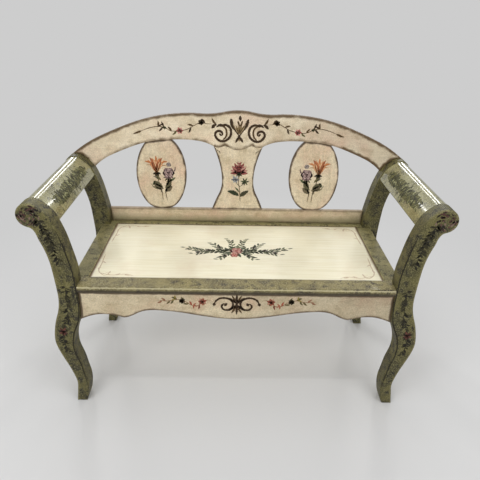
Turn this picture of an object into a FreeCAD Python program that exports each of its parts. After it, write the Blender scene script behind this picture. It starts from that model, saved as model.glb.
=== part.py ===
import FreeCAD, Part
import math
import os

import Sketcher
from FreeCAD import Placement, Rotation, Vector

# Telephone bench: a two-seat settee with rolled arms on S-shaped posts, an arched back with
# three splats, and a framed seat on shaped aprons. Millimetres. X runs along the bench, the
# front faces -Y, +Z is up, and the origin is on the floor under the middle of the bench.
# Left means -X, as seen by someone who stands in front of the bench.

doc = FreeCAD.newDocument("telephone_bench")

# Driving dimensions

SIZES = [
    ("half_depth", 263, "centre to the front or rear face of the posts"),
    ("post_depth", 54, "thickness of a post along Y"),
    ("between_posts", 978, "clear width between the left and right posts"),
    ("post_edge_bevel", 3.5, "bevel along the outward edges of a post"),
    ("scroll_centre_x", 598, "centre of the rolled top of a post"),
    ("scroll_centre_z", 682.5, "height of that centre"),
    ("scroll_radius", 36.5, "radius of the rolled top of a post"),
    ("arm_inset", 2.5, "how far the arm lies inside the outline of its posts"),
    ("arm_thickness", 28, "thickness of the sloping board of the arm"),
    ("board", 18, "thickness of the crest rail and the lower back rail"),
    ("splat_thickness", 14, "thickness of the three splats"),
    ("tongue", 6, "thickness of the splat and seat tongues"),
    ("tongue_depth", 12, "how far a splat tongue enters its rail"),
    ("fit_gap", 1, "room left at the bottom of a mortise"),
    ("back_rail_top", 504, "upper edge of the lower back rail"),
    ("oval_centre_x", 288, "centre of an oval splat"),
    ("oval_centre_z", 641, "height of that centre"),
    ("oval_half_width", 94, "half the width of an oval splat"),
    ("oval_half_height", 149.5, "half the height of the whole oval"),
    ("seat_height", 450, "upper face of the seat frame"),
    ("seat_board", 22, "thickness of the seat frame"),
    ("seat_overhang", 29, "how far the seat passes the posts' inner faces between them"),
    ("seat_corner_radius", 12, "rounded corners of the seat next to the posts"),
    ("nose_radius", 9, "upper rounding of the seat's front edge"),
    ("nose_under_radius", 7, "lower rounding of the seat's front edge"),
    ("panel_half_length", 467, "half the length of the seat panel"),
    ("panel_front", 199, "centre to the front edge of the seat panel"),
    ("panel_rear", 224, "centre to the rear edge of the seat panel"),
    ("panel_recess", 4, "how far the panel lies below the frame"),
    ("groove_depth", 8, "groove round the inside of the seat frame"),
    ("groove_height", 6, "groove above the underside of the frame"),
    ("tongue_play", 0.5, "room at the tip of a seat tongue"),
    ("apron", 20, "thickness of the aprons"),
    ("apron_set_back", 10, "apron behind the outward face of the posts"),
    ("side_apron_height", 88, "height of a side apron"),
    ("rear_apron_height", 83, "height of the rear apron"),
    ("tenon", 8, "thickness of the apron and rail tenons"),
    ("tenon_length", 25, "length of those tenons"),
    ("tenon_top", 418, "upper edge of the apron tenons"),
    ("tenon_bottom", 352, "lower edge of the apron tenons"),
    ("rail_tenon_top", 494, "upper edge of the back rail tenons"),
    ("rail_tenon_bottom", 460, "lower edge of the back rail tenons"),
    ("side_tenon_inset", 6, "side apron tenon inside the apron's inner face"),
    ("block", 35, "width of a corner block"),
    ("block_height", 30, "height of a corner block"),
    ("batten_width", 45, "width of a seat batten"),
    ("batten_height", 22, "height of a seat batten"),
    ("batten_offset", 165, "centre of the bench to the centre of a batten"),
    ("dowel_radius", 5, "arm dowels"),
    ("dowel_half", 26, "half the length of an arm dowel"),
    ("crest_dowel_radius", 4, "crest rail dowels"),
    ("screw_radius", 2, "shank of a wood screw"),
    ("screw_length", 48, "length of a wood screw under its head"),
    ("screw_head_radius", 4, "pan head of a wood screw"),
    ("screw_head_height", 2.5, "height of that head"),
]

sheet = doc.addObject("Spreadsheet::Sheet", "Sizes")
for row_number, (alias, value, note) in enumerate(SIZES, start=1):
    sheet.set(f"A{row_number}", alias)
    sheet.set(f"B{row_number}", str(value))
    sheet.set(f"C{row_number}", note)
    sheet.setAlias(f"B{row_number}", alias)
doc.recompute()


def number(expression):
    """The value of an expression over the sheet's cells."""
    return float(sheet.evalExpression(str(expression)))


HALF_BETWEEN = "Sizes.between_posts / 2"
SEAT_UNDERSIDE = "(Sizes.seat_height - Sizes.seat_board)"
APRON_MIDDLE = "(Sizes.half_depth - Sizes.apron_set_back - Sizes.apron / 2)"
APRON_INNER = "(Sizes.half_depth - Sizes.apron_set_back - Sizes.apron)"
POST_INNER_FACE = "(Sizes.half_depth - Sizes.post_depth)"
BACK_MIDDLE = "(Sizes.half_depth - Sizes.board / 2)"
TENON_END = f"({HALF_BETWEEN} + Sizes.tenon_length)"

LEFT, RIGHT = -1, 1
FRONT, REAR = -1, 1
SIDE_NAME = {LEFT: "left", RIGHT: "right"}
ROW_NAME = {FRONT: "front", REAR: "rear"}


# Building blocks: bodies, sketches and features

def new_body(label, **offsets):
    """A body whose place along x, y or z follows expressions over the sheet."""
    body = doc.addObject("PartDesign::Body", label)
    body.Label = label
    for axis, expression in offsets.items():
        body.setExpression(f"Placement.Base.{axis}", expression)
    return body


def sketch_on(body, plane_role, offset=None):
    """A sketch on one of the body's own origin planes, or parallel to it."""
    plane = next(item for item in body.Origin.OriginFeatures if item.Role == plane_role)
    sketch = body.newObject("Sketcher::SketchObject", f"{body.Name}_sketch")
    sketch.AttachmentSupport = (plane, [""])
    sketch.MapMode = "FlatFace"
    if offset is not None:
        sketch.setExpression("AttachmentOffset.Base.z", str(offset))
    return sketch


def pin_point(sketch, geometry, point, across, up):
    """Hold a sketch point at distances from the origin that follow the sheet."""
    for kind, expression in (("DistanceX", across), ("DistanceY", up)):
        rule = Sketcher.Constraint(kind, -1, 1, geometry, point, number(expression))
        index = sketch.addConstraint(rule)
        sketch.setExpression(f"Constraints[{index}]", str(expression))


def draw_polygon(sketch, corners):
    """A closed outline of straight lines, each corner a pair of expressions."""
    places = [Vector(number(across), number(up), 0) for across, up in corners]
    count = len(corners)
    first = sketch.GeometryCount
    for index in range(count):
        sketch.addGeometry(Part.LineSegment(places[index], places[(index + 1) % count]), False)
    for index, (across, up) in enumerate(corners):
        following = first + (index + 1) % count
        sketch.addConstraint(Sketcher.Constraint("Coincident", first + index, 2, following, 1))
        pin_point(sketch, first + index, 1, across, up)


def draw_rectangle(sketch, left, bottom, right, top):
    draw_polygon(sketch, [(left, bottom), (right, bottom), (right, top), (left, top)])


def draw_circle(sketch, across, up, radius):
    centre = Vector(number(across), number(up), 0)
    index = sketch.addGeometry(Part.Circle(centre, Vector(0, 0, 1), number(radius)), False)
    pin_point(sketch, index, 3, across, up)
    rule = sketch.addConstraint(Sketcher.Constraint("Radius", index, number(radius)))
    sketch.setExpression(f"Constraints[{rule}]", str(radius))


def draw_curves(sketch, curves):
    for curve in curves:
        sketch.addGeometry(curve, False)


def extrude(body, sketch, length, both_ways=True, reverse=False):
    """Pad a sketch, by default half to each side of its plane."""
    feature = body.newObject("PartDesign::Pad", f"{body.Name}_pad")
    feature.Profile = sketch
    if both_ways:
        feature.SideType = "Symmetric"
    feature.Reversed = reverse
    feature.setExpression("Length", str(length))
    doc.recompute()
    return feature


def cut(body, sketch, length=None, both_ways=False, reverse=False):
    """Pocket a sketch: right through when no length is given. It must remove material."""
    volume_before = body.Shape.Volume
    feature = body.newObject("PartDesign::Pocket", f"{body.Name}_pocket")
    feature.Profile = sketch
    if length is None:
        feature.Type = "ThroughAll"
        both_ways = True
    else:
        feature.setExpression("Length", str(length))
    if both_ways:
        feature.SideType = "Symmetric"
    feature.Reversed = reverse
    doc.recompute()
    if not body.Shape.Volume < volume_before - 1:
        raise RuntimeError(f"a pocket of {body.Label} removes nothing")
    return feature


def ease_edges(body, size, wanted, bevel=False):
    """Round or bevel the edges of the body that the test picks out."""
    base = body.Tip
    names = [f"Edge{i}" for i, edge in enumerate(base.Shape.Edges, start=1) if wanted(edge)]
    if not names:
        raise RuntimeError(f"no edge of {body.Label} is picked")
    kind, measure = ("Chamfer", "Size") if bevel else ("Fillet", "Radius")
    feature = body.newObject(f"PartDesign::{kind}", f"{body.Name}_eased")
    feature.Base = (base, names)
    feature.setExpression(measure, str(size))
    doc.recompute()
    return feature


def bend(start, heading, end):
    """An arc that leaves start along the heading and reaches end."""
    chord = end - start
    along = Vector(chord).normalize()
    turn = math.atan2(along.x * heading.y - along.y * heading.x, along.dot(heading))
    if abs(turn) < 0.001:
        return Part.LineSegment(start, end)
    bulge = Vector(-along.y, along.x, 0) * (chord.Length / 2 * math.tan(turn / 2))
    return Part.Arc(start, (start + end) / 2 + bulge, end)


def heading_vector(degrees):
    return Vector(math.cos(math.radians(degrees)), math.sin(math.radians(degrees)), 0)


def flow(stops):
    """Arcs that flow smoothly through stops of (across, up, heading in degrees)."""
    curves = []
    for here, there in zip(stops, stops[1:]):
        start = Vector(here[0], here[1], 0)
        end = Vector(there[0], there[1], 0)
        leave = heading_vector(here[2])
        arrive = heading_vector(there[2])
        span = end - start
        both = span.dot(leave + arrive)
        spread = 2 * (1 - leave.dot(arrive))
        if spread < 1e-6:
            reach = span.dot(span) / (4 * span.dot(arrive))
        else:
            reach = (math.sqrt(both * both + spread * span.dot(span)) - both) / spread
        joint = (start + end + (leave - arrive) * reach) / 2
        curves.append(bend(start, leave, joint))
        curves.append(bend(end, -arrive, joint))
    return curves


def line(start, end):
    return Part.LineSegment(Vector(start[0], start[1], 0), Vector(end[0], end[1], 0))


def round_point(centre, radius, degrees):
    angle = math.radians(degrees)
    return (centre[0] + radius * math.cos(angle), centre[1] + radius * math.sin(angle))


def arc(centre, radius, start, end):
    """An arc from one angle to another in degrees, counter-clockwise."""
    middle = (start + end) / 2
    through = [Vector(*round_point(centre, radius, degrees), 0) for degrees in (start, middle, end)]
    return Part.Arc(*through)


def mirrored(points, side):
    """Points, or stops with a heading, as they are on the right or mirrored to the left."""
    if side == RIGHT:
        return list(points)
    return [(-point[0], point[1], *[180 - heading for heading in point[2:]]) for point in points]


# The outline of a post, drawn for the right side and mirrored for the left. The outer edge
# swings out at the knee, in at the waist and out again to the neck under the rolled top.

SCROLL = (number("Sizes.scroll_centre_x"), number("Sizes.scroll_centre_z"))
SCROLL_RADIUS = number("Sizes.scroll_radius")
NECK_ANGLE = -55
CROWN_ANGLE = 125
INNER_FACE = number(HALF_BETWEEN)
FLAT_TOP, FLAT_BOTTOM = 462, 355


def on_scroll(degrees, radius=SCROLL_RADIUS, turn=1):
    """A stop on the rolled top of the right side; turn is 1 counter-clockwise, -1 clockwise."""
    angle = math.radians(degrees)
    return (SCROLL[0] + radius * math.cos(angle), SCROLL[1] + radius * math.sin(angle),
            degrees + 90 * turn)


OUTER_EDGE = [
    (537.5, 0, 98), (530, 60, 98), (543, 132, 71), (568, 197, 70), (580, 262, 95),
    (549.5, 425, 87), (577, 599, 68), (591, 637, 56), on_scroll(NECK_ANGLE),
]
INNER_UPPER = [
    (INNER_FACE, FLAT_TOP, 90), (507, 582, 78), (536, 669, 65), on_scroll(CROWN_ANGLE, turn=-1),
]
INNER_LOWER = [
    (INNER_FACE, FLAT_BOTTOM, 270), (504, 300, 295), (520, 232, 271), (502, 140, 261),
    (492.5, 60, 274), (505, 0, 292),
]


def scroll_arc(side, radius, start, end):
    centre = (side * SCROLL[0], SCROLL[1])
    if side == RIGHT:
        return arc(centre, radius, start, end)
    return arc(centre, radius, 180 - end, 180 - start)


def post_outline(side):
    outer = mirrored(OUTER_EDGE, side)
    upper = mirrored(INNER_UPPER, side)
    lower = mirrored(INNER_LOWER, side)
    curves = flow(outer) + flow(upper) + flow(lower)
    curves.append(scroll_arc(side, SCROLL_RADIUS, NECK_ANGLE, CROWN_ANGLE))
    curves.append(line(upper[0], lower[0]))
    curves.append(line(lower[-1], outer[0]))
    return curves


def trim_to_posts(body, plane_offset=None):
    """Cut the ends of a board that runs between the posts to their curved inner edges."""
    sketch = sketch_on(body, "XZ_Plane", plane_offset)
    for side in (LEFT, RIGHT):
        draw_curves(sketch, post_outline(side))
    cut(body, sketch)


# Arm: a board that wraps over the rolled tops, from a full roll outside to a squared lower
# edge inside. Drawn 2.5 mm inside the posts' outline, so the scrolls stand a little proud.

ARM_EDGE_ROUNDING = 5
ROLL_START = -144
ARM_RADIUS = SCROLL_RADIUS - number("Sizes.arm_inset")
ARM_HEADING = 58
ARM_TOP = [(530.5, 652, ARM_HEADING), (539.5, 670.5, 66), on_scroll(CROWN_ANGLE, ARM_RADIUS, -1)]
ARM_DOWELS = [(598, 683), (552, 658)]


def arm_outline(side):
    thickness = number("Sizes.arm_thickness")
    rounding = ARM_EDGE_ROUNDING
    bevel = rounding * (1 - math.sqrt(0.5))
    along = (math.cos(math.radians(ARM_HEADING)), math.sin(math.radians(ARM_HEADING)))

    def from_corner(forward, inward):
        """A point of the squared lower edge, counted from its sharp upper corner."""
        forward -= rounding
        return (ARM_TOP[0][0] + forward * along[0] + inward * along[1],
                ARM_TOP[0][1] + forward * along[1] - inward * along[0])

    top = mirrored(ARM_TOP, side)
    top_corner = mirrored([ARM_TOP[0][:2], from_corner(bevel, bevel), from_corner(0, rounding)], side)
    low_corner = mirrored([from_corner(0, thickness - rounding), from_corner(bevel, thickness - bevel),
                           from_corner(rounding, thickness)], side)
    roll_end = mirrored([on_scroll(ROLL_START, ARM_RADIUS)[:2]], side)[0]
    return flow(top) + [
        scroll_arc(side, ARM_RADIUS, ROLL_START, CROWN_ANGLE),
        Part.Arc(*[Vector(*point, 0) for point in top_corner]),
        line(top_corner[2], low_corner[0]),
        Part.Arc(*[Vector(*point, 0) for point in low_corner]),
        line(low_corner[2], roll_end),
    ]


def build_arm(side):
    body = new_body(f"{SIDE_NAME[side]}_arm")
    outline = sketch_on(body, "XZ_Plane")
    draw_curves(outline, arm_outline(side))
    extrude(body, outline, f"2 * {POST_INNER_FACE}")
    bores = sketch_on(body, "XZ_Plane", POST_INNER_FACE)
    for x, z in ARM_DOWELS:
        draw_circle(bores, side * x, z, "Sizes.dowel_radius")
    front_bores = cut(body, bores, "Sizes.dowel_half")
    rear_bores = body.newObject("PartDesign::Mirrored", f"{body.Name}_rear_bores")
    rear_bores.Originals = [front_bores]
    middle = next(item for item in body.Origin.OriginFeatures if item.Role == "XZ_Plane")
    rear_bores.MirrorPlane = (middle, [""])
    body.Tip = rear_bores


# Posts: one S-shaped profile for all four, with mortises and bores for what joins them.

CREST_DOWEL = (560, 697)
CREST_DOWEL_HALF = 24


def build_post(side, row):
    body = new_body(f"{SIDE_NAME[side]}_{ROW_NAME[row]}_post", y=f"{row} * {POST_INNER_FACE}")
    outline = sketch_on(body, "XZ_Plane")
    draw_curves(outline, post_outline(side))
    extrude(body, outline, "Sizes.post_depth", both_ways=False, reverse=row == REAR)

    outward = row * number("Sizes.post_depth")

    def on_outward_face(edge):
        corners = [vertex.Point for vertex in edge.Vertexes]
        at_sole = all(point.z < 0.1 for point in corners)
        return not at_sole and all(abs(point.y - outward) < 0.1 for point in corners)

    ease_edges(body, "Sizes.post_edge_bevel", on_outward_face, bevel=True)

    apron_mortise = sketch_on(body, "YZ_Plane")
    middle = f"{row} * ({APRON_MIDDLE} - {POST_INNER_FACE})"
    draw_rectangle(apron_mortise, f"{middle} - Sizes.tenon / 2", "Sizes.tenon_bottom",
                   f"{middle} + Sizes.tenon / 2", "Sizes.tenon_top")
    cut(body, apron_mortise, TENON_END, reverse=side == RIGHT)

    side_mortise = sketch_on(body, "XZ_Plane")
    near = f"({HALF_BETWEEN} + Sizes.side_tenon_inset)"
    draw_rectangle(side_mortise, f"{side} * {near}", "Sizes.tenon_bottom",
                   f"{side} * ({near} + Sizes.tenon)", "Sizes.tenon_top")
    cut(body, side_mortise, "Sizes.tenon_length", reverse=row == FRONT)

    arm_bores = sketch_on(body, "XZ_Plane")
    for x, z in ARM_DOWELS:
        draw_circle(arm_bores, side * x, z, "Sizes.dowel_radius")
    cut(body, arm_bores, "Sizes.dowel_half", reverse=row == FRONT)

    if row == REAR:
        back_middle = f"({BACK_MIDDLE} - {POST_INNER_FACE})"
        rail_mortise = sketch_on(body, "YZ_Plane")
        draw_rectangle(rail_mortise, f"{back_middle} - Sizes.tenon / 2", "Sizes.rail_tenon_bottom",
                       f"{back_middle} + Sizes.tenon / 2", "Sizes.rail_tenon_top")
        cut(body, rail_mortise, TENON_END, reverse=side == RIGHT)
        crest_bore = sketch_on(body, "YZ_Plane")
        draw_circle(crest_bore, back_middle, CREST_DOWEL[1], "Sizes.crest_dowel_radius")
        cut(body, crest_bore, CREST_DOWEL[0] + CREST_DOWEL_HALF, reverse=side == RIGHT)


# Corner block: a glue block in each corner under the seat, with one screw into the front or
# rear apron and one up into the seat frame.

APRON_SCREW_HEIGHT = 405
APRON_SCREW_FROM_POST = 27
BLOCK_NEAR = f"({HALF_BETWEEN} - Sizes.block)"
BLOCK_BOTTOM = f"({SEAT_UNDERSIDE} - Sizes.block_height)"
SEAT_SCREW_X = f"({HALF_BETWEEN} - 7)"
SEAT_SCREW_Y = f"({APRON_INNER} - Sizes.block / 2)"
APRON_SCREW_X = f"({HALF_BETWEEN} - {APRON_SCREW_FROM_POST})"


def build_corner_block(side, row):
    body = new_body(f"{SIDE_NAME[side]}_{ROW_NAME[row]}_corner_block", z=BLOCK_BOTTOM)
    outline = sketch_on(body, "XY_Plane")
    draw_rectangle(outline, f"{side} * {BLOCK_NEAR}", f"{row} * ({APRON_INNER} - Sizes.block)",
                   f"{side} * {HALF_BETWEEN}", f"{row} * {APRON_INNER}")
    extrude(body, outline, "Sizes.block_height", both_ways=False)
    seat_bore = sketch_on(body, "XY_Plane")
    draw_circle(seat_bore, f"{side} * {SEAT_SCREW_X}", f"{row} * {SEAT_SCREW_Y}",
                "Sizes.screw_radius")
    cut(body, seat_bore)
    apron_bore = sketch_on(body, "XZ_Plane")
    draw_circle(apron_bore, f"{side} * {APRON_SCREW_X}", f"{APRON_SCREW_HEIGHT} - {BLOCK_BOTTOM}",
                "Sizes.screw_radius")
    cut(body, apron_bore)


# Back: the crest rail arches over three splats and ends on the rolled tops of the rear posts.

CREST_TOP = [
    (0, 883, 0), (105, 870, -3), (180, 871.5, -1), (400, 829, -21), (617, 713, -40),
]
CREST_UNDER = [(541, 662, 132), (390, 748, 159), (205, 776.5, 180), (90, 752.5, 210)]
SCALLOP = [(90, 752.5, 200), (69, 749.5, 170), (50, 757.5, 150)]
SCALLOP_BELLY = [(50, 757.5, 205), (30, 748, 205), (0, 739.5, 180)]


def crest_outline():
    """The whole outline of the crest rail before its ends are cut to the posts."""
    curves = []
    for side in (LEFT, RIGHT):
        for stops in (CREST_TOP, CREST_UNDER, SCALLOP, SCALLOP_BELLY):
            curves.extend(flow(mirrored(stops, side)))
        curves.append(line(*mirrored([CREST_TOP[-1], CREST_UNDER[0]], side)))
    return curves


CENTRE_TONGUE_BOTTOM = 50
CENTRE_TONGUE_TOP = 40
OVAL_TONGUE = 30
CREST_MORTISES = [(-CENTRE_TONGUE_TOP, CENTRE_TONGUE_TOP, 775)]
RAIL_MORTISES = [(-CENTRE_TONGUE_BOTTOM, CENTRE_TONGUE_BOTTOM)]
OVAL_TONGUE_TOP = 788
for splat_side in (LEFT, RIGHT):
    splat_middle = splat_side * number("Sizes.oval_centre_x")
    CREST_MORTISES.append((splat_middle - OVAL_TONGUE, splat_middle + OVAL_TONGUE, OVAL_TONGUE_TOP))
    RAIL_MORTISES.append((splat_middle - OVAL_TONGUE, splat_middle + OVAL_TONGUE))
MORTISE_MOUTH = 730
TONGUE_ROOT = 720


def build_crest_rail():
    body = new_body("crest_rail", y=BACK_MIDDLE)
    outline = sketch_on(body, "XZ_Plane")
    draw_curves(outline, crest_outline())
    extrude(body, outline, "Sizes.board")
    trim_to_posts(body)
    mortises = sketch_on(body, "XZ_Plane")
    for left, right, top in CREST_MORTISES:
        draw_rectangle(mortises, left, MORTISE_MOUTH, right, f"{top} + Sizes.fit_gap")
    cut(body, mortises, "Sizes.tongue", both_ways=True)
    for side in (LEFT, RIGHT):
        bore = sketch_on(body, "YZ_Plane", side * (CREST_DOWEL[0] - CREST_DOWEL_HALF))
        draw_circle(bore, 0, CREST_DOWEL[1], "Sizes.crest_dowel_radius")
        cut(body, bore, 2 * CREST_DOWEL_HALF, reverse=side == RIGHT)


def build_lower_back_rail():
    body = new_body("lower_back_rail", y=BACK_MIDDLE)
    blank = sketch_on(body, "XZ_Plane")
    end = f"({HALF_BETWEEN} + Sizes.board)"
    draw_rectangle(blank, f"-{end}", "Sizes.seat_height", end, "Sizes.back_rail_top")
    extrude(body, blank, "Sizes.board")
    trim_to_posts(body)
    tenons = sketch_on(body, "XZ_Plane")
    draw_rectangle(tenons, f"-{TENON_END}", "Sizes.rail_tenon_bottom", TENON_END,
                   "Sizes.rail_tenon_top")
    extrude(body, tenons, "Sizes.tenon")
    mortises = sketch_on(body, "XZ_Plane")
    floor = "Sizes.back_rail_top - Sizes.tongue_depth - Sizes.fit_gap"
    for left, right in RAIL_MORTISES:
        draw_rectangle(mortises, left, floor, right, "Sizes.back_rail_top + Sizes.fit_gap")
    cut(body, mortises, "Sizes.tongue", both_ways=True)


def fit_splat(body, left, right, top_left, top_right, top):
    """Cut a splat's head to the crest rail's lower edge and give it its two tongues."""
    head = sketch_on(body, "XZ_Plane")
    draw_curves(head, crest_outline())
    cut(body, head)
    tongues = sketch_on(body, "XZ_Plane")
    draw_rectangle(tongues, left, "Sizes.back_rail_top - Sizes.tongue_depth", right,
                   "Sizes.back_rail_top + Sizes.tongue_depth")
    extrude(body, tongues, "Sizes.tongue")
    head_tongue = sketch_on(body, "XZ_Plane")
    draw_rectangle(head_tongue, top_left, TONGUE_ROOT, top_right, top)
    extrude(body, head_tongue, "Sizes.tongue")


CENTRE_SPLAT_WAIST = (59.5, 618, 90)
CENTRE_SPLAT_SHOULDER = (91, 753, 67)
CENTRE_SPLAT_HEAD = 768


def build_centre_splat():
    body = new_body("centre_splat", y=BACK_MIDDLE)
    outline = sketch_on(body, "XZ_Plane")
    edge = [(97, number("Sizes.back_rail_top"), 109), CENTRE_SPLAT_WAIST, CENTRE_SPLAT_SHOULDER]
    left, right = mirrored(edge, LEFT), mirrored(edge, RIGHT)
    head = (edge[-1][0], CENTRE_SPLAT_HEAD)
    far_head = (-edge[-1][0], CENTRE_SPLAT_HEAD)
    draw_curves(outline, flow(left) + flow(right))
    draw_curves(outline, [line(left[0], right[0]), line(right[-1], head), line(head, far_head),
                          line(far_head, left[-1])])
    extrude(body, outline, "Sizes.splat_thickness")
    fit_splat(body, -CENTRE_TONGUE_BOTTOM, CENTRE_TONGUE_BOTTOM, -CENTRE_TONGUE_TOP,
              CENTRE_TONGUE_TOP, CREST_MORTISES[0][2])


def build_oval_splat(side):
    body = new_body(f"{SIDE_NAME[side]}_oval_splat", y=BACK_MIDDLE)
    outline = sketch_on(body, "XZ_Plane")
    centre = Vector(side * number("Sizes.oval_centre_x"), number("Sizes.oval_centre_z"), 0)
    half_width = number("Sizes.oval_half_width")
    half_height = number("Sizes.oval_half_height")
    foot = number("Sizes.back_rail_top")
    # The ellipse has its long axis upright, so its own angle is counted from +Z.
    drop = math.acos((foot - centre.y) / half_height)
    tall = Part.Ellipse(centre + Vector(0, half_height, 0), centre + Vector(-half_width, 0, 0), centre)
    rim = Part.ArcOfEllipse(tall, -drop, drop)
    draw_curves(outline, [rim, Part.LineSegment(rim.EndPoint, rim.StartPoint)])
    extrude(body, outline, "Sizes.splat_thickness")
    middle = side * number("Sizes.oval_centre_x")
    fit_splat(body, middle - OVAL_TONGUE, middle + OVAL_TONGUE, middle - OVAL_TONGUE,
              middle + OVAL_TONGUE, OVAL_TONGUE_TOP)


# Seat: a grooved frame round a recessed panel, notched round the four posts.

def build_seat_cross_rail(row):
    """The front rail, with its rounded nosing, or the rear rail under the back."""
    body = new_body(f"seat_{ROW_NAME[row]}_rail", z=SEAT_UNDERSIDE)
    inner = "Sizes.panel_front" if row == FRONT else "Sizes.panel_rear"
    outline = sketch_on(body, "XY_Plane")
    draw_rectangle(outline, f"-{HALF_BETWEEN}", f"{row} * {inner}", HALF_BETWEEN,
                   f"{row} * Sizes.half_depth")
    extrude(body, outline, "Sizes.seat_board", both_ways=False)
    groove = sketch_on(body, "YZ_Plane")
    draw_rectangle(groove, f"{row} * {inner}", "Sizes.groove_height",
                   f"{row} * ({inner} + Sizes.groove_depth)", "Sizes.groove_height + Sizes.tongue")
    cut(body, groove)
    if row == FRONT:
        bores = sketch_on(body, "XY_Plane")
        for side in (LEFT, RIGHT):
            draw_circle(bores, f"{side} * {SEAT_SCREW_X}", f"-{SEAT_SCREW_Y}", "Sizes.screw_radius")
        cut(body, bores, "Sizes.screw_length - Sizes.block_height", reverse=True)
        face = -number("Sizes.half_depth")
        top = number("Sizes.seat_board")

        def at_nose(height):
            return lambda edge: (all(abs(v.Y - face) < 0.1 and abs(v.Z - height) < 0.1
                                     for v in edge.Vertexes))

        ease_edges(body, "Sizes.nose_radius", at_nose(top))
        ease_edges(body, "Sizes.nose_under_radius", at_nose(0))


def build_seat_side_rail(side):
    """A side rail, wider between the posts, where it passes their inner faces."""
    body = new_body(f"seat_{SIDE_NAME[side]}_rail", z=SEAT_UNDERSIDE)
    inner = f"{side} * Sizes.panel_half_length"
    shoulder = f"{side} * {HALF_BETWEEN}"
    outer = f"{side} * ({HALF_BETWEEN} + Sizes.seat_overhang)"
    outline = sketch_on(body, "XY_Plane")
    draw_polygon(outline, [
        (inner, "-Sizes.panel_front"), (shoulder, "-Sizes.panel_front"),
        (shoulder, f"-{POST_INNER_FACE}"), (outer, f"-{POST_INNER_FACE}"),
        (outer, POST_INNER_FACE), (shoulder, POST_INNER_FACE),
        (shoulder, "Sizes.panel_rear"), (inner, "Sizes.panel_rear"),
    ])
    extrude(body, outline, "Sizes.seat_board", both_ways=False)
    groove_end = f"{side} * (Sizes.panel_half_length + Sizes.groove_depth)"
    groove = sketch_on(body, "XZ_Plane")
    draw_rectangle(groove, inner, "Sizes.groove_height", groove_end,
                   "Sizes.groove_height + Sizes.tongue")
    cut(body, groove)
    tongue_reach = "Sizes.groove_depth - Sizes.tongue_play"
    tongues = sketch_on(body, "XY_Plane", "Sizes.groove_height")
    draw_rectangle(tongues, groove_end, f"-(Sizes.panel_front + {tongue_reach})", shoulder,
                   f"Sizes.panel_rear + {tongue_reach}")
    extrude(body, tongues, "Sizes.tongue", both_ways=False)
    bore = sketch_on(body, "XY_Plane")
    draw_circle(bore, f"{side} * {SEAT_SCREW_X}", SEAT_SCREW_Y, "Sizes.screw_radius")
    cut(body, bore, "Sizes.screw_length - Sizes.block_height", reverse=True)
    corner_x = number(outer)

    def at_outer_corner(edge):
        upright = abs(edge.Vertexes[0].Z - edge.Vertexes[-1].Z) > 1
        return upright and all(abs(vertex.X - corner_x) < 0.1 for vertex in edge.Vertexes)

    ease_edges(body, "Sizes.seat_corner_radius", at_outer_corner)


def build_seat_panel():
    body = new_body("seat_panel", z=SEAT_UNDERSIDE)
    outline = sketch_on(body, "XY_Plane")
    draw_rectangle(outline, "-Sizes.panel_half_length", "-Sizes.panel_front",
                   "Sizes.panel_half_length", "Sizes.panel_rear")
    extrude(body, outline, "Sizes.seat_board - Sizes.panel_recess", both_ways=False)
    reach = "Sizes.groove_depth - Sizes.tongue_play"
    tongue = sketch_on(body, "XY_Plane", "Sizes.groove_height")
    draw_rectangle(tongue, f"-(Sizes.panel_half_length + {reach})", f"-(Sizes.panel_front + {reach})",
                   f"Sizes.panel_half_length + {reach}", f"Sizes.panel_rear + {reach}")
    extrude(body, tongue, "Sizes.tongue", both_ways=False)


def build_batten(side):
    """A bearer under the seat panel, between the front and rear aprons."""
    body = new_body(f"{SIDE_NAME[side]}_seat_batten", x=f"{side} * Sizes.batten_offset",
                    z=f"{SEAT_UNDERSIDE} - Sizes.batten_height")
    outline = sketch_on(body, "XY_Plane")
    draw_rectangle(outline, "-Sizes.batten_width / 2", f"-{APRON_INNER}", "Sizes.batten_width / 2",
                   APRON_INNER)
    extrude(body, outline, "Sizes.batten_height", both_ways=False)


# Aprons: a shaped one in front, straight ones behind and at the sides.

APRON_SWEEP = [(0, 333, 0), (151, 351, 11), (251, 363, 3), (315, 349, -31), (354, 334, -7)]
APRON_LOBE = [(354, 334, 17), (416, 346, 1), (500, 322, -27)]


def finish_cross_apron(body, row):
    """Cut the ends to the posts, then add the tenons and the screw bores."""
    trim_to_posts(body)
    tenons = sketch_on(body, "XZ_Plane")
    draw_rectangle(tenons, f"-{TENON_END}", "Sizes.tenon_bottom + Sizes.tenon", TENON_END,
                   "Sizes.tenon_top")
    extrude(body, tenons, "Sizes.tenon")
    reach = "Sizes.screw_length - Sizes.block"
    bores = sketch_on(body, "XZ_Plane", f"{row} * Sizes.apron / 2")
    for side in (LEFT, RIGHT):
        draw_circle(bores, f"{side} * {APRON_SCREW_X}", APRON_SCREW_HEIGHT, "Sizes.screw_radius")
    return bores, reach


def build_front_apron():
    body = new_body("front_apron", y=f"-{APRON_MIDDLE}")
    outline = sketch_on(body, "XZ_Plane")
    corners = []
    for side in (LEFT, RIGHT):
        lobe = mirrored(APRON_LOBE, side)
        corners.append((lobe[-1][0], number(SEAT_UNDERSIDE)))
        draw_curves(outline, flow(mirrored(APRON_SWEEP, side)) + flow(lobe))
        draw_curves(outline, [line(lobe[-1], corners[-1])])
    draw_curves(outline, [line(*corners)])
    extrude(body, outline, "Sizes.apron")
    bores, reach = finish_cross_apron(body, FRONT)
    cut(body, bores, reach, reverse=True)


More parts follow.
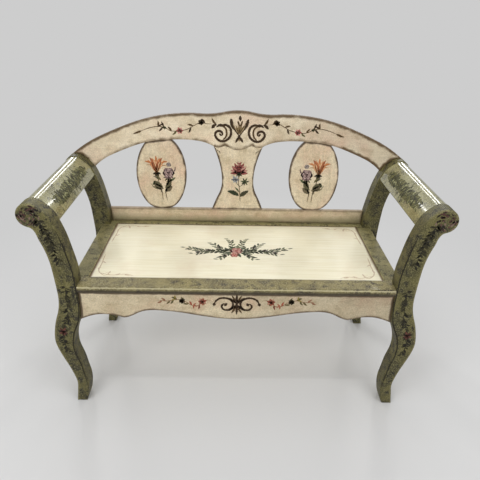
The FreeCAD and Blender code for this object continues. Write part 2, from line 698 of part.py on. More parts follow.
def build_rear_apron():
    body = new_body("rear_apron", y=APRON_MIDDLE)
    outline = sketch_on(body, "XZ_Plane")
    end = f"({HALF_BETWEEN} + Sizes.board)"
    draw_rectangle(outline, f"-{end}", f"{SEAT_UNDERSIDE} - Sizes.rear_apron_height", end,
                   SEAT_UNDERSIDE)
    extrude(body, outline, "Sizes.apron")
    bores, reach = finish_cross_apron(body, REAR)
    cut(body, bores, reach)


def build_side_apron(side):
    body = new_body(f"{SIDE_NAME[side]}_side_apron")
    outline = sketch_on(body, "XZ_Plane")
    draw_rectangle(outline, f"{side} * {HALF_BETWEEN}", f"{SEAT_UNDERSIDE} - Sizes.side_apron_height",
                   f"{side} * ({HALF_BETWEEN} + Sizes.apron)", SEAT_UNDERSIDE)
    extrude(body, outline, f"2 * {POST_INNER_FACE}")
    near = f"({HALF_BETWEEN} + Sizes.side_tenon_inset)"
    tenons = sketch_on(body, "XZ_Plane")
    draw_rectangle(tenons, f"{side} * {near}", "Sizes.tenon_bottom",
                   f"{side} * ({near} + Sizes.tenon)", "Sizes.tenon_top")
    extrude(body, tenons, f"2 * ({POST_INNER_FACE} + Sizes.tenon_length)")


# Dowels: plain cylinders, each in a bore of its own length in both pieces.

def build_dowels(label, dowels, radius, half_length, axis):
    """A group of dowels: each is given by its middle and lies along one row axis."""
    turn = Rotation(Vector(0, 0, 1), axis)
    pins = []
    for place in dowels:
        pin = doc.addObject("Part::Cylinder", f"{label}_pin")
        pin.setExpression("Radius", radius)
        pin.setExpression("Height", f"2 * {half_length} - Sizes.tongue_play")
        start = place - axis * (number(half_length) - number("Sizes.tongue_play") / 2)
        pin.Placement = Placement(start, turn)
        pins.append(pin)
    group = doc.addObject("Part::Compound", label)
    group.Label = label
    group.Links = pins


def build_all_dowels():
    joint_y = number(POST_INNER_FACE)
    arm_places = [Vector(side * x, row * joint_y, z)
                  for side in (LEFT, RIGHT) for row in (FRONT, REAR) for x, z in ARM_DOWELS]
    build_dowels("arm_dowels", arm_places, "Sizes.dowel_radius", "Sizes.dowel_half", Vector(0, 1, 0))
    crest_places = [Vector(side * CREST_DOWEL[0], number(BACK_MIDDLE), CREST_DOWEL[1])
                    for side in (LEFT, RIGHT)]
    build_dowels("crest_dowels", crest_places, "Sizes.crest_dowel_radius", CREST_DOWEL_HALF,
                 Vector(1, 0, 0))


# Screws: one turned shape, copied to each place with its head on the face it holds.

def screw_shape():
    """A flat-headed wood screw without its thread, pointing along +Z from under its head."""
    shank = number("Sizes.screw_radius")
    head = number("Sizes.screw_head_radius")
    height = number("Sizes.screw_head_height")
    point = number("Sizes.screw_length - Sizes.tongue_play")
    half = [(0, -height), (head, -height), (head, 0), (shank, 0), (shank, point), (0, point)]
    wire = Part.makePolygon([Vector(x, 0, z) for x, z in half + half[:1]])
    return Part.Face(wire).revolve(Vector(0, 0, 0), Vector(0, 0, 1), 360)


def build_corner_block_screws():
    face_y = number(f"{APRON_INNER} - Sizes.block")
    under = number(BLOCK_BOTTOM)
    pattern = screw_shape()
    screws = []
    for side in (LEFT, RIGHT):
        for row in (FRONT, REAR):
            seat_screw = pattern.copy()
            place = Vector(side * number(SEAT_SCREW_X), row * number(SEAT_SCREW_Y), under)
            seat_screw.Placement = Placement(place, Rotation())
            apron_screw = pattern.copy()
            place = Vector(side * number(APRON_SCREW_X), row * face_y, APRON_SCREW_HEIGHT)
            turn = Rotation(Vector(0, 0, 1), Vector(0, row, 0))
            apron_screw.Placement = Placement(place, turn)
            screws.extend([seat_screw, apron_screw])
    group = doc.addObject("Part::Feature", "corner_block_screws")
    group.Label = "corner_block_screws"
    group.Shape = Part.makeCompound(screws)


# The bench, from its posts to its fasteners

for build_side in (LEFT, RIGHT):
    for build_row in (FRONT, REAR):
        build_post(build_side, build_row)
        build_corner_block(build_side, build_row)
    build_arm(build_side)
    build_side_apron(build_side)
    build_seat_side_rail(build_side)
    build_oval_splat(build_side)
    build_batten(build_side)
build_front_apron()
build_rear_apron()
build_seat_cross_rail(FRONT)
build_seat_cross_rail(REAR)
build_seat_panel()
build_lower_back_rail()
build_centre_splat()
build_crest_rail()
build_all_dowels()
build_corner_block_screws()
doc.recompute()

# Check every object, then write each sub-part

for item in doc.Objects:
    if "Invalid" in item.State or "Error" in item.State:
        raise RuntimeError(f"{item.Label} failed to recompute")

SUBPART_TYPES = ("PartDesign::Body", "Part::Compound", "Part::Feature")
subparts = [item for item in doc.Objects if item.TypeId in SUBPART_TYPES]
for item in subparts:
    if item.Shape.isNull() or not item.Shape.isValid() or not item.Shape.Solids:
        raise RuntimeError(f"{item.Label} has no valid solid")

os.makedirs("parts", exist_ok=True)
for item in subparts:
    item.Shape.exportStep(f"parts/{item.Label}.step")
print(len(subparts), "sub-parts written")
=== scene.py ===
import math
import random

import bmesh
import bpy
import numpy as np
from mathutils import Matrix, Vector
from mathutils.geometry import delaunay_2d_cdt


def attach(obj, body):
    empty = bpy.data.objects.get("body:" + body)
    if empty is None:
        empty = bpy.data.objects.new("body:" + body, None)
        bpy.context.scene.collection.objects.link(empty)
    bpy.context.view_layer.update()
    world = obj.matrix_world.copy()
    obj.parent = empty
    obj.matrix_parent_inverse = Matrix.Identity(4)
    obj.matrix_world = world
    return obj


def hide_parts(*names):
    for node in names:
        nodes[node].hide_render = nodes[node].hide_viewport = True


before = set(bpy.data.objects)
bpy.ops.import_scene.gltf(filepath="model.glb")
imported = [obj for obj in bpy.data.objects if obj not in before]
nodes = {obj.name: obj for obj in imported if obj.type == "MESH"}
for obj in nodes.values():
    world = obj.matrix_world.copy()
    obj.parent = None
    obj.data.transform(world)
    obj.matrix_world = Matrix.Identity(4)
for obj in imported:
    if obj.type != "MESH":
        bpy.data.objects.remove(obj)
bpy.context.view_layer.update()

# Viewpoint. The bench is seen from the front, a little above the height of its back, by
# someone who stands about a metre and a half away and looks down at the seat.

camera_data = bpy.data.cameras.new("front_view")
PICTURE_WIDTH, FOCAL_LENGTH = 480, 510  # both in the picture's pixels
camera_data.sensor_width = 36
camera_data.lens = camera_data.sensor_width * FOCAL_LENGTH / PICTURE_WIDTH
camera = bpy.data.objects.new("front_view", camera_data)
bpy.context.collection.objects.link(camera)
camera_right = Vector((0.99980, -0.00647, 0.01891))
camera_forward = Vector((0.01405, 0.90047, -0.43470))
camera_up = camera_right.cross(camera_forward)
camera_place = Matrix.Translation((-0.01504, -1.59785, 1.26109))
camera_turn = Matrix((camera_right, camera_up, -camera_forward)).transposed()
camera.matrix_world = camera_place @ camera_turn.to_4x4()
bpy.context.scene.camera = camera
bpy.context.scene.view_settings.view_transform = "Standard"

# Floor. A seamless pale studio floor of matt paper. It is lit near the bench, where it keeps
# the shadow, and fades to one even grey further out, so that no horizon shows.


def linear(code):
    """A colour written as sRGB hex, as the linear values that a shader takes."""
    channels = [int(code[i:i + 2], 16) / 255 for i in (1, 3, 5)]
    return [c / 12.92 if c <= 0.04045 else ((c + 0.055) / 1.055) ** 2.4 for c in channels] + [1.0]


def add_node(tree, kind, inputs=None, stops=None, **settings):
    """A node with its settings; inputs takes values, colours, sockets and nodes by name or number.

    A node given as an input stands for its first output.
    """
    made = tree.nodes.new(kind)
    for key, value in settings.items():
        setattr(made, key, value)
    if stops:
        ramp = made.color_ramp
        while len(ramp.elements) < len(stops):
            ramp.elements.new(0.5)
        for element, (position, colour) in zip(ramp.elements, stops):
            element.position = position
            element.color = linear(colour) if isinstance(colour, str) else (colour,) * 3 + (1,)
    for key, value in (inputs or {}).items():
        socket = made.inputs[key]
        if isinstance(value, bpy.types.Node):
            value = value.outputs[0]
        if isinstance(value, bpy.types.NodeSocket):
            tree.links.new(value, socket)
        elif isinstance(value, str) and value.startswith("#"):
            socket.default_value = linear(value)
        else:
            socket.default_value = value
    return made


def new_material(name):
    """A material, its tree, and the place on the piece that its patterns follow."""
    material = bpy.data.materials.new(name)
    material.use_nodes = True
    tree = material.node_tree
    tree.nodes.clear()
    return material, tree, add_node(tree, "ShaderNodeTexCoord").outputs["Object"]


BACKDROP_GREY = "#cdcdcd"
FLOOR_REACH = 9
LIT_RADIUS, EVEN_RADIUS = 0.7, 1.9
paper, tree, place = new_material("pale_studio_paper")
far = add_node(tree, "ShaderNodeVectorMath", {0: place}, operation="LENGTH").outputs["Value"]
fade = add_node(tree, "ShaderNodeMapRange", {
    "Value": far, "From Min": LIT_RADIUS, "From Max": EVEN_RADIUS}, interpolation_type="SMOOTHSTEP")
lit = add_node(tree, "ShaderNodeBsdfDiffuse", {"Color": "#d9d9d9"})
even = add_node(tree, "ShaderNodeEmission", {"Color": BACKDROP_GREY})
rays = add_node(tree, "ShaderNodeLightPath")
seen = add_node(tree, "ShaderNodeMath", {
    0: rays.outputs["Is Camera Ray"], 1: rays.outputs["Is Glossy Ray"]}, operation="MAXIMUM")
share = add_node(tree, "ShaderNodeMath", {0: fade, 1: seen}, operation="MULTIPLY")
mixed = add_node(tree, "ShaderNodeMixShader", {0: share, 1: lit, 2: even})
add_node(tree, "ShaderNodeOutputMaterial", {"Surface": mixed})

floor_mesh = bpy.data.meshes.new("floor")
floor_corners = [(FLOOR_REACH * x, FLOOR_REACH * y, 0) for x, y in ((-1, -1), (1, -1), (1, 1), (-1, 1))]
floor_mesh.from_pydata(floor_corners, [], [(0, 1, 2, 3)])
floor = bpy.data.objects.new("floor", floor_mesh)
floor_mesh.materials.append(paper)
bpy.context.collection.objects.link(floor)

# Light. Two broad soft boxes in front light the back and the seat. Long tubes overhead, as
# a showroom's ceiling has, draw the bright lines along the rolled arms and the nosing.


def area_light(name, size, power, place, target):
    """A rectangular lamp at a place, turned to its target; sizes in metres and power in watts."""
    lamp = bpy.data.lights.new(name, "AREA")
    lamp.shape = "RECTANGLE"
    lamp.size, lamp.size_y = size
    lamp.energy = power
    holder = bpy.data.objects.new(name, lamp)
    holder.location = place
    holder.rotation_euler = (Vector(target) - Vector(place)).to_track_quat("-Z", "Y").to_euler()
    bpy.context.collection.objects.link(holder)


area_light("front_left_box", (1.8, 1.2), 32.5, (-1.3, -2.4, 2.3), (0, 0, 0.5))
area_light("front_right_box", (1.8, 1.2), 21.5, (1.5, -2.3, 2.1), (0, 0, 0.5))
area_light("overhead_box", (3.2, 2.2), 13, (0, -0.2, 3.0), (0, 0, 0))
area_light("tube_in_front", (4.0, 0.08), 9, (0, -1.0, 2.7), (0, -0.2, 0.4))
for across, power in ((-1.75, 26.25), (-0.75, 21.25), (0.75, 21.25), (1.75, 26.25)):
    area_light("tube_behind", (0.2, 3.4), power, (across, 3.4, 2.5), (across * 0.6, 0, 0.6))

world = bpy.data.worlds.new("even_surroundings")
world.use_nodes = True
tree = world.node_tree
tree.nodes.clear()
seen = add_node(tree, "ShaderNodeLightPath").outputs["Is Camera Ray"]
around = add_node(tree, "ShaderNodeBackground", {"Color": "#c4c4c4", "Strength": 0.70})
behind = add_node(tree, "ShaderNodeBackground", {"Color": BACKDROP_GREY, "Strength": 1.0})
mixed = add_node(tree, "ShaderNodeMixShader", {0: seen, 1: around, 2: behind})
add_node(tree, "ShaderNodeOutputWorld", {"Surface": mixed})
bpy.context.scene.world = world

# Posts. Four boards of hardwood 54 mm thick, bandsawn to one S-shaped pattern from the foot to
# the rolled top, with the outward edges rounded over. They are painted olive green, mottled
# with a dark glaze, rubbed back to tan along the edges, and varnished.

LEFT, RIGHT = -1, 1
SIDES = ((LEFT, "left"), (RIGHT, "right"))
SCROLL = (598, 682.5)
SCROLL_RADIUS = 36.5
# the right post's edges in millimetres: each stop is an x, a height and a heading in degrees
POST_OUTER = [(537.5, 0, 98), (530, 60, 98), (543, 132, 71), (568, 197, 70), (580, 262, 95),
              (549.5, 425, 87), (577, 599, 68), (591, 637, 56)]
POST_INNER_UPPER = [(489, 462, 90), (507, 582, 78), (536, 669, 65)]
POST_INNER_LOWER = [(489, 355, 270), (504, 300, 295), (520, 232, 271), (502, 140, 261),
                    (492.5, 60, 274), (505, 0, 292)]
# how far a post's outward and inward faces lie from the bench's middle, front to rear
POST_OUTWARD, POST_INWARD = 262.5, 209


def arc_points(start, heading, end, step=2.5):
    """Points along the arc that leaves start along a heading and reaches end."""
    chord = end - start
    length = math.hypot(*chord)
    along = chord / length
    turn = math.atan2(along[0] * heading[1] - along[1] * heading[0], along @ heading)
    if abs(turn) < 1e-3:
        count = max(1, round(length / step / 3))
        return [start + chord * i / count for i in range(count)]
    radius = length / (2 * math.sin(turn))
    centre = start + np.array([heading[1], -heading[0]]) * radius
    count = max(2, round(abs(radius * 2 * turn) / step))
    points = []
    for i in range(count):
        angle = -2 * turn * i / count
        spoke = start - centre
        points.append(centre + np.array([spoke[0] * math.cos(angle) - spoke[1] * math.sin(angle),
                                         spoke[0] * math.sin(angle) + spoke[1] * math.cos(angle)]))
    return points


def sweep(stops, step=2.5):
    """Points along two arcs between each pair of stops, each stop an (x, z, heading)."""
    points = []
    for here, there in zip(stops, stops[1:]):
        start, end = np.array(here[:2], float), np.array(there[:2], float)
        leave, arrive = [np.array([math.cos(math.radians(s[2])), math.sin(math.radians(s[2]))])
                         for s in (here, there)]
        span = end - start
        both = span @ (leave + arrive)
        spread = 2 * (1 - leave @ arrive)
        if spread < 1e-6:
            reach = span @ span / (4 * (span @ arrive))
        else:
            reach = (math.sqrt(both * both + spread * (span @ span)) - both) / spread
        joint = (start + end + (leave - arrive) * reach) / 2
        points += arc_points(start, leave, joint, step)
        points += [joint] + arc_points(end, -arrive, joint, step)[:0:-1]
    return points + [np.array(stops[-1][:2], float)]


def on_scroll(degrees, radius=SCROLL_RADIUS, turn=1):
    """A stop on the round of the rolled top; turn is 1 anticlockwise and -1 clockwise."""
    angle = math.radians(degrees)
    return (SCROLL[0] + radius * math.cos(angle), SCROLL[1] + radius * math.sin(angle),
            degrees + 90 * turn)


def mirror(points, side):
    """The points as they are for the right side, and mirrored for the left."""
    return np.array(points, float) * (side, 1)


scroll_stops = [on_scroll(-55), on_scroll(35), on_scroll(125)]
inner_upper = POST_INNER_UPPER + [on_scroll(125, turn=-1)]
post_outline = np.array(sweep(POST_OUTER + scroll_stops) + sweep(inner_upper)[-2::-1]
                        + sweep(POST_INNER_LOWER))


def inset(outline, distance):
    """A closed outline moved inwards; where that folds a tight corner, its points meet."""
    if distance == 0:
        return outline
    ahead = np.roll(outline, -1, 0) - outline
    ahead /= np.linalg.norm(ahead, axis=1)[:, None]
    behind = np.roll(ahead, 1, 0)
    middle = ahead + behind
    middle /= np.linalg.norm(middle, axis=1)[:, None]
    sharpest = 0.35  # keeps the mitre of a very sharp corner short
    stretch = 1 / np.maximum((middle * ahead).sum(1), sharpest)
    moved = outline + np.stack([-middle[:, 1], middle[:, 0]], 1) * (distance * stretch)[:, None]
    start, run = outline[None], (np.roll(outline, -1, 0) - outline)[None]
    reach = ((moved[:, None] - start) * run).sum(2) / (run * run).sum(2)
    nearest = start + np.clip(reach, 0, 1)[..., None] * run
    gap = np.linalg.norm(moved[:, None] - nearest, axis=2).min(1)
    tolerance = 0.97
    good = np.flatnonzero(gap > distance * tolerance)
    for before, after in zip(good, np.roll(good, -1)):
        between = (after - before) % len(outline)
        for i in range(1, between):
            moved[(before + i) % len(outline)] = (moved[before] + moved[after]) / 2
    return moved


def board(name, outline, profile, depth_axis, material, rims=None):
    """A solid that runs a profile of (inset, depth, rim) round an outline, in millimetres.

    Rim goes from 1 at a worn or painted edge to 0 in the field, and steers the material; on the
    nosing's shoulder it also carries a painted highlight, and on the crest's lower edge at the right end
    painted shade.
    """
    outline = np.array(outline, float)
    after = np.roll(outline, -1, 0)
    area = (outline[:, 0] * after[:, 1] - outline[:, 1] * after[:, 0]).sum()
    if area < 0:
        outline = outline[::-1]
        rims = None if rims is None else rims[::-1]
    mesh = bmesh.new()
    rim_layer = mesh.verts.layers.float.new("rim")

    def corner(across, up, depth, rim, index):
        place = {"x": (depth, across, up), "y": (across, depth, up), "z": (across, up, depth)}
        vertex = mesh.verts.new([v / 1000 for v in place[depth_axis]])
        vertex[rim_layer] = rim if rims is None or index is None else rims[index] * rim
        return vertex

    rings = []
    for distance, depth, rim in profile:
        rings.append([corner(across, up, depth, rim, index)
                      for index, (across, up) in enumerate(inset(outline, distance))])
    count = len(outline)
    for front, back in zip(rings, rings[1:]):
        for i in range(count):
            mesh.faces.new((front[i], back[i], back[(i + 1) % count], front[(i + 1) % count]))
    for distance, depth, rim in (profile[0], profile[-1]):
        loop = [Vector(point) for point in inset(outline, distance)]
        spots, _, triangles, origins, _, _ = delaunay_2d_cdt(loop, [], [range(count)], 1, 1e-4)
        corners = [corner(across, up, depth, rim, origin[0] if origin else None)
                   for (across, up), origin in zip(spots, origins)]
        for triangle in triangles:
            mesh.faces.new([corners[i] for i in triangle])
    same_place, no_length = 2e-6, 1e-6
    bmesh.ops.remove_doubles(mesh, verts=mesh.verts, dist=same_place)
    bmesh.ops.dissolve_degenerate(mesh, edges=mesh.edges, dist=no_length)
    bmesh.ops.recalc_face_normals(mesh, faces=mesh.faces)
    data = bpy.data.meshes.new(name)
    mesh.to_mesh(data)
    mesh.free()
    for face in data.polygons:
        face.use_smooth = True
    sharp_edge = math.radians(38)
    data.set_sharp_from_angle(angle=sharp_edge)
    data.materials.append(material)
    piece = bpy.data.objects.new(name, data)
    bpy.context.collection.objects.link(piece)
    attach(piece, "root")
    return piece


def rounded_edge(radius, depth, inward, steps=4):
    """Profile stops from a flat face at a depth over its rounded edge, inward's sign giving the way."""
    turns = [math.pi / 2 * i / steps for i in range(steps + 1)]
    return [(radius * (1 - math.sin(turn)), depth + inward * radius * (1 - math.cos(turn)), 1)
            for turn in turns]


def lay_over(tree, under, over, pattern, low, high, most=1.0):
    """One colour over another: none of it where the pattern is low, most where it is high."""
    share = add_node(tree, "ShaderNodeMapRange", {
        "Value": pattern, "From Min": low, "From Max": high, "To Max": most})
    mixed = add_node(tree, "ShaderNodeMix", {"Factor": share, 6: under, 7: over}, data_type="RGBA")
    return mixed.outputs[2]


def finish_surface(tree, colour, roughness, ior, marks, strength, coat=0):
    """The surface under its colour, with marks in relief, and a coat of varnish if it has one."""
    relief = add_node(tree, "ShaderNodeBump", {"Height": marks, "Strength": strength, "Distance": 0.001})
    look = {"Base Color": colour, "Roughness": roughness, "IOR": ior, "Normal": relief}
    if coat:
        look.update({"Coat Weight": coat, "Coat Roughness": 0.08, "Coat IOR": 1.5})
    shader = add_node(tree, "ShaderNodeBsdfPrincipled", look)
    add_node(tree, "ShaderNodeOutputMaterial", {"Surface": shader})


def glaze(name, light, middle, dark, worn, dark_share, roughness, coat, under_shade=None):
    """Olive milk paint under a dark glaze, brushed on and rubbed back, then varnished.

    The eye sees cloudy green with dark flecks, pale grains and paler edges. The last argument
    gives the heights in metres at which painted shade, darker towards the bottom, is full and where it ends.
    """
    material, tree, place = new_material(name)
    # clouds about 60 mm across, from the paint showing through the glaze unevenly
    clouds = add_node(tree, "ShaderNodeTexNoise", {
        "Vector": place, "Scale": 16, "Detail": 4, "Roughness": 0.6})
    field = add_node(tree, "ShaderNodeValToRGB", {"Fac": clouds}, stops=[(0.34, middle), (0.66, light)])
    # flecks 3 to 8 mm long from a stiff glazing brush, gathered in patches of about 25 mm
    flecks = add_node(tree, "ShaderNodeTexNoise", {
        "Vector": place, "Scale": 170, "Detail": 5, "Roughness": 0.68, "Distortion": 0.8})
    spread = add_node(tree, "ShaderNodeTexNoise", {"Vector": place, "Scale": 44, "Detail": 3})
    reach = add_node(tree, "ShaderNodeMath", {0: spread, 1: 1.6, 2: flecks}, operation="MULTIPLY_ADD")
    glazed = lay_over(tree, field, dark, reach, 1.2 + dark_share, 0.92 + dark_share)
    # pale grains 3 mm across, where the ground coat shows through
    grains = add_node(tree, "ShaderNodeTexNoise", {
        "Vector": place, "Scale": 300, "Detail": 3, "Roughness": 0.6})
    grained = lay_over(tree, glazed, worn, grains, 0.5, 0.66, 0.85)
    rim = add_node(tree, "ShaderNodeAttribute", attribute_name="rim").outputs["Fac"]
    rubbed = add_node(tree, "ShaderNodeMath", {0: rim, 1: flecks}, operation="MULTIPLY")
    colour = lay_over(tree, grained, worn, rubbed, 0.34, 0.62, 0.8)
    # painted shade: the colour darkens towards the bottom, fully below the first height
    if under_shade:
        height = add_node(tree, "ShaderNodeSeparateXYZ", {0: place}).outputs["Z"]
        colour = lay_over(tree, colour, dark, height, under_shade[1], under_shade[0], 0.85)
    rough = add_node(tree, "ShaderNodeMapRange", {
        "Value": clouds, "To Min": roughness, "To Max": roughness + 0.16})
    finish_surface(tree, colour, rough, 1.5, flecks, 0.1, coat)
    return material


post_glaze = glaze("olive_glaze_on_posts", "#666032", "#3b3718", "#141107", "#857e52",
                   dark_share=0.17, roughness=0.5, coat=0)
# from the outward face over its eased edge to the inward face, which is hardly eased
post_profile = [(13, -POST_OUTWARD, 0), (8, -POST_OUTWARD, 0.6)]
post_profile += rounded_edge(4.5, -POST_OUTWARD, 1)
post_profile += [(0, -POST_OUTWARD + 12, 0.5), (0, -POST_OUTWARD + 20, 0), (0, -POST_INWARD - 8, 0),
                 (0, -POST_INWARD - 0.6, 0.8), (0.6, -POST_INWARD, 0.8), (10, -POST_INWARD, 0)]


def set_material(obj, material):
    obj.data.materials.clear()
    obj.data.materials.append(material)


# the outer side is rubbed pale and the inner side hardly at all
RUBBED, HARDLY_RUBBED = 1.0, 0.3
post_rims = np.full(len(post_outline), HARDLY_RUBBED)
post_rims[:len(sweep(POST_OUTER + scroll_stops))] = RUBBED
for side, side_name in SIDES:
    for row, row_name in ((-1, "front"), (1, "rear")):
        profile = [(distance, -row * depth, rim) for distance, depth, rim in post_profile]
        post = board(f"{side_name}_{row_name}_post_glazed", mirror(post_outline, side), profile, "y",
                     post_glaze, post_rims)
        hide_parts(f"{side_name}_{row_name}_post")

# Arms. Each is a thick board shaped to the posts' rolled tops outside and sloping down inside,
# planed and sanded smooth, doweled between the front and rear posts. The paint is the posts'
# olive, lighter, and the varnish is glossier.

ARM_RADIUS = SCROLL_RADIUS - 2.5
ARM_TOP = [(530.5, 652, 58), (539.5, 670.5, 66), on_scroll(125, ARM_RADIUS, -1)]
ARM_THICKNESS = 28
ARM_ROUNDING = 5

arm_heading = math.radians(ARM_TOP[0][2])
arm_along = np.array([math.cos(arm_heading), math.sin(arm_heading)])
arm_down = np.array([arm_along[1], -arm_along[0]])
arm_corner = np.array(ARM_TOP[0][:2]) - arm_along * ARM_ROUNDING
arm_nose = []
for turn_start, down in ((0, ARM_ROUNDING), (90, ARM_THICKNESS - ARM_ROUNDING)):
    for i in range(5):
        angle = math.radians(turn_start + 90 * i / 4)
        arm_nose.append(arm_corner + arm_along * ARM_ROUNDING * (1 - math.sin(angle))
                        + arm_down * (down - ARM_ROUNDING * math.cos(angle)))
arm_roll = sweep([on_scroll(degrees, ARM_RADIUS) for degrees in (-144, -55, 35, 125)])
arm_outline = np.array(arm_roll + sweep(ARM_TOP)[-2:0:-1] + arm_nose)
# the inner edge and the underside are rubbed a little
arm_rims = np.array([0.7 if point[0] < 534 or point[1] < 640 else 0.0 for point in arm_outline])

arm_glaze = glaze("olive_glaze_on_arms", "#908c5a", "#6c683c", "#333016", "#c0bb8e",
                  dark_share=0.02, roughness=0.22, coat=0.75)
for side, side_name in SIDES:
    profile = [(0, -POST_INWARD, 1), (0, -200, 0.6), (0, 200, 0.6), (0, POST_INWARD, 1)]
    arm = board(f"{side_name}_arm_glazed", mirror(arm_outline, side), profile, "y", arm_glaze, arm_rims)
    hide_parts(f"{side_name}_arm")

# Seat frame. Four rails 22 mm thick, glazed like the posts, grooved for the panel inside and
# notched round the posts. The front rail has a full rounded nosing, rubbed pale along the shoulder
# of its round, which also stands as a painted highlight, and darkened underneath as painted shade.

SEAT_TOP, SEAT_UNDER = 450, 428
RAIL_END = 489
PANEL_FRONT, PANEL_REAR, PANEL_END = -199, 224, 467
frame_glaze = glaze("olive_glaze_on_seat_frame", "#8d8558", "#5c5630", "#2b2612", "#ada476",
                    dark_share=0.1, roughness=0.52, coat=0)
# painted shade: the lower part of the nosing's round is darkened where it turns under
nosing_glaze = glaze("olive_glaze_on_nosing", "#8a7f50", "#574d27", "#2b200d", "#b9b088",
                     dark_share=0.1, roughness=0.46, coat=0.12, under_shade=(0.4365, 0.4435))


def arc_corner(centre, radius, start, end, count=6):
    """Points round a corner from one angle to another, both in degrees."""
    turns = [math.radians(start + (end - start) * i / count) for i in range(count + 1)]
    return [(centre[0] + radius * math.cos(turn), centre[1] + radius * math.sin(turn))
            for turn in turns]


rail_profile = [(0, -RAIL_END, 1), (0, RAIL_END, 1)]
nosing = [(PANEL_FRONT, SEAT_UNDER), (PANEL_FRONT, SEAT_TOP - 0.8), (PANEL_FRONT - 0.8, SEAT_TOP)]
nosing += arc_corner((-254, SEAT_TOP - 9), 9, 90, 180)
nosing += arc_corner((-256, SEAT_UNDER + 7), 7, 180, 270)
# palest on the shoulder of the round, where rubbed wear also stands as a painted highlight line, and less
# along the panel
nosing_wear_and_highlight = [1.35 if y < -259 and z > 444 else 0.7 if y > -202 and z > 440 else 0
               for y, z in nosing]
front_rail = board("seat_front_rail_glazed", nosing[::-1], rail_profile, "x", nosing_glaze,
                   np.array(nosing_wear_and_highlight[::-1]))
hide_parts("seat_front_rail")

rear_section = [(PANEL_REAR, SEAT_UNDER), (263, SEAT_UNDER), (263, SEAT_TOP),
                (PANEL_REAR + 0.8, SEAT_TOP), (PANEL_REAR, SEAT_TOP - 0.8)]
rear_rail = board("seat_rear_rail_glazed", rear_section, rail_profile, "x", frame_glaze,
                  np.array([0, 0, 0, 0.8, 0.8]))
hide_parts("seat_rear_rail")

for side, side_name in SIDES:
    ears = arc_corner((506, -197), 12, -90, 0) + arc_corner((506, 197), 12, 0, 90)
    side_outline = [(PANEL_END, PANEL_FRONT), (RAIL_END, PANEL_FRONT), (RAIL_END, -POST_INWARD)]
    side_outline += ears + [(RAIL_END, POST_INWARD), (RAIL_END, PANEL_REAR), (PANEL_END, PANEL_REAR)]
    profile = [(12, SEAT_TOP, 0), (6, SEAT_TOP, 0.4), (1.2, SEAT_TOP, 0.9), (0.4, SEAT_TOP - 0.4, 1),
               (0, SEAT_TOP - 1.2, 0.8), (0, SEAT_UNDER + 10, 0.1), (0, SEAT_UNDER + 1, 0.5),
               (1, SEAT_UNDER, 0.3)]
    side_rail = board(f"seat_{side_name}_rail_glazed", mirror(side_outline, side), profile, "z",
                      frame_glaze)
    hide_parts(f"seat_{side_name}_rail")

# Side aprons. Plain boards tenoned between the front and rear posts under the seat, glazed
# with the frame. Their shape is the construction's own, so only the finish is new.

for name in ("left_side_apron", "right_side_apron"):
    set_material(nodes[name], frame_glaze)

# Seat panel. A glued-up softwood panel that lies 4 mm below its frame, painted a light cream
# with long brush strokes from end to end, lined in brown along the frame, and varnished.

seat_paint, tree, place = new_material("brushed_cream_seat_paint")
# brush strokes about 200 mm long and 7 mm wide, and faint stains about 200 mm across
strokes = add_node(tree, "ShaderNodeMapping", {"Vector": place, "Scale": (1.6, 42, 42)})
brushed = add_node(tree, "ShaderNodeTexNoise", {
    "Vector": strokes, "Scale": 3.2, "Detail": 7, "Roughness": 0.62})
stains = add_node(tree, "ShaderNodeTexNoise", {
    "Vector": place, "Scale": 4.5, "Detail": 5, "Roughness": 0.6})
field = add_node(tree, "ShaderNodeValToRGB", {
    "Fac": brushed}, stops=[(0.25, "#e2dab9"), (0.5, "#efe8cc"), (0.75, "#f5f1dc")])
stained = lay_over(tree, field, "#d8bfa0", stains, 0.52, 0.75, 0.5)
rim = add_node(tree, "ShaderNodeAttribute", attribute_name="rim").outputs["Fac"]
edge = add_node(tree, "ShaderNodeMath", {0: rim, 1: stains}, operation="ADD")
colour = lay_over(tree, stained, "#6b4f33", edge, 0.75, 1.3, 0.9)
finish_surface(tree, colour, 0.46, 1.45, brushed, 0.08)

PANEL_TOP = 446
EDGE_PARTS = 12
panel_corners = [(-PANEL_END, PANEL_FRONT), (PANEL_END, PANEL_FRONT), (PANEL_END, PANEL_REAR),
                 (-PANEL_END, PANEL_REAR)]
panel_outline = []
for (x0, y0), (x1, y1) in zip(panel_corners, panel_corners[1:] + panel_corners[:1]):
    panel_outline += [(x0 + (x1 - x0) * i / EDGE_PARTS, y0 + (y1 - y0) * i / EDGE_PARTS)
                      for i in range(EDGE_PARTS)]
panel_profile = [(16, PANEL_TOP, 0), (7, PANEL_TOP, 0.35), (3, PANEL_TOP, 0.9), (0.5, PANEL_TOP, 1),
                 (0, PANEL_TOP - 0.5, 1), (0, SEAT_UNDER, 0.2), (20, SEAT_UNDER, 0)]
panel = board("seat_panel_painted", panel_outline, panel_profile, "z", seat_paint)
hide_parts("seat_panel")

# Front apron. A 20 mm board bandsawn to a long wave with a cusp near each end, painted cream
# and antiqued with brown: stained in the field, dark along the sawn edge.


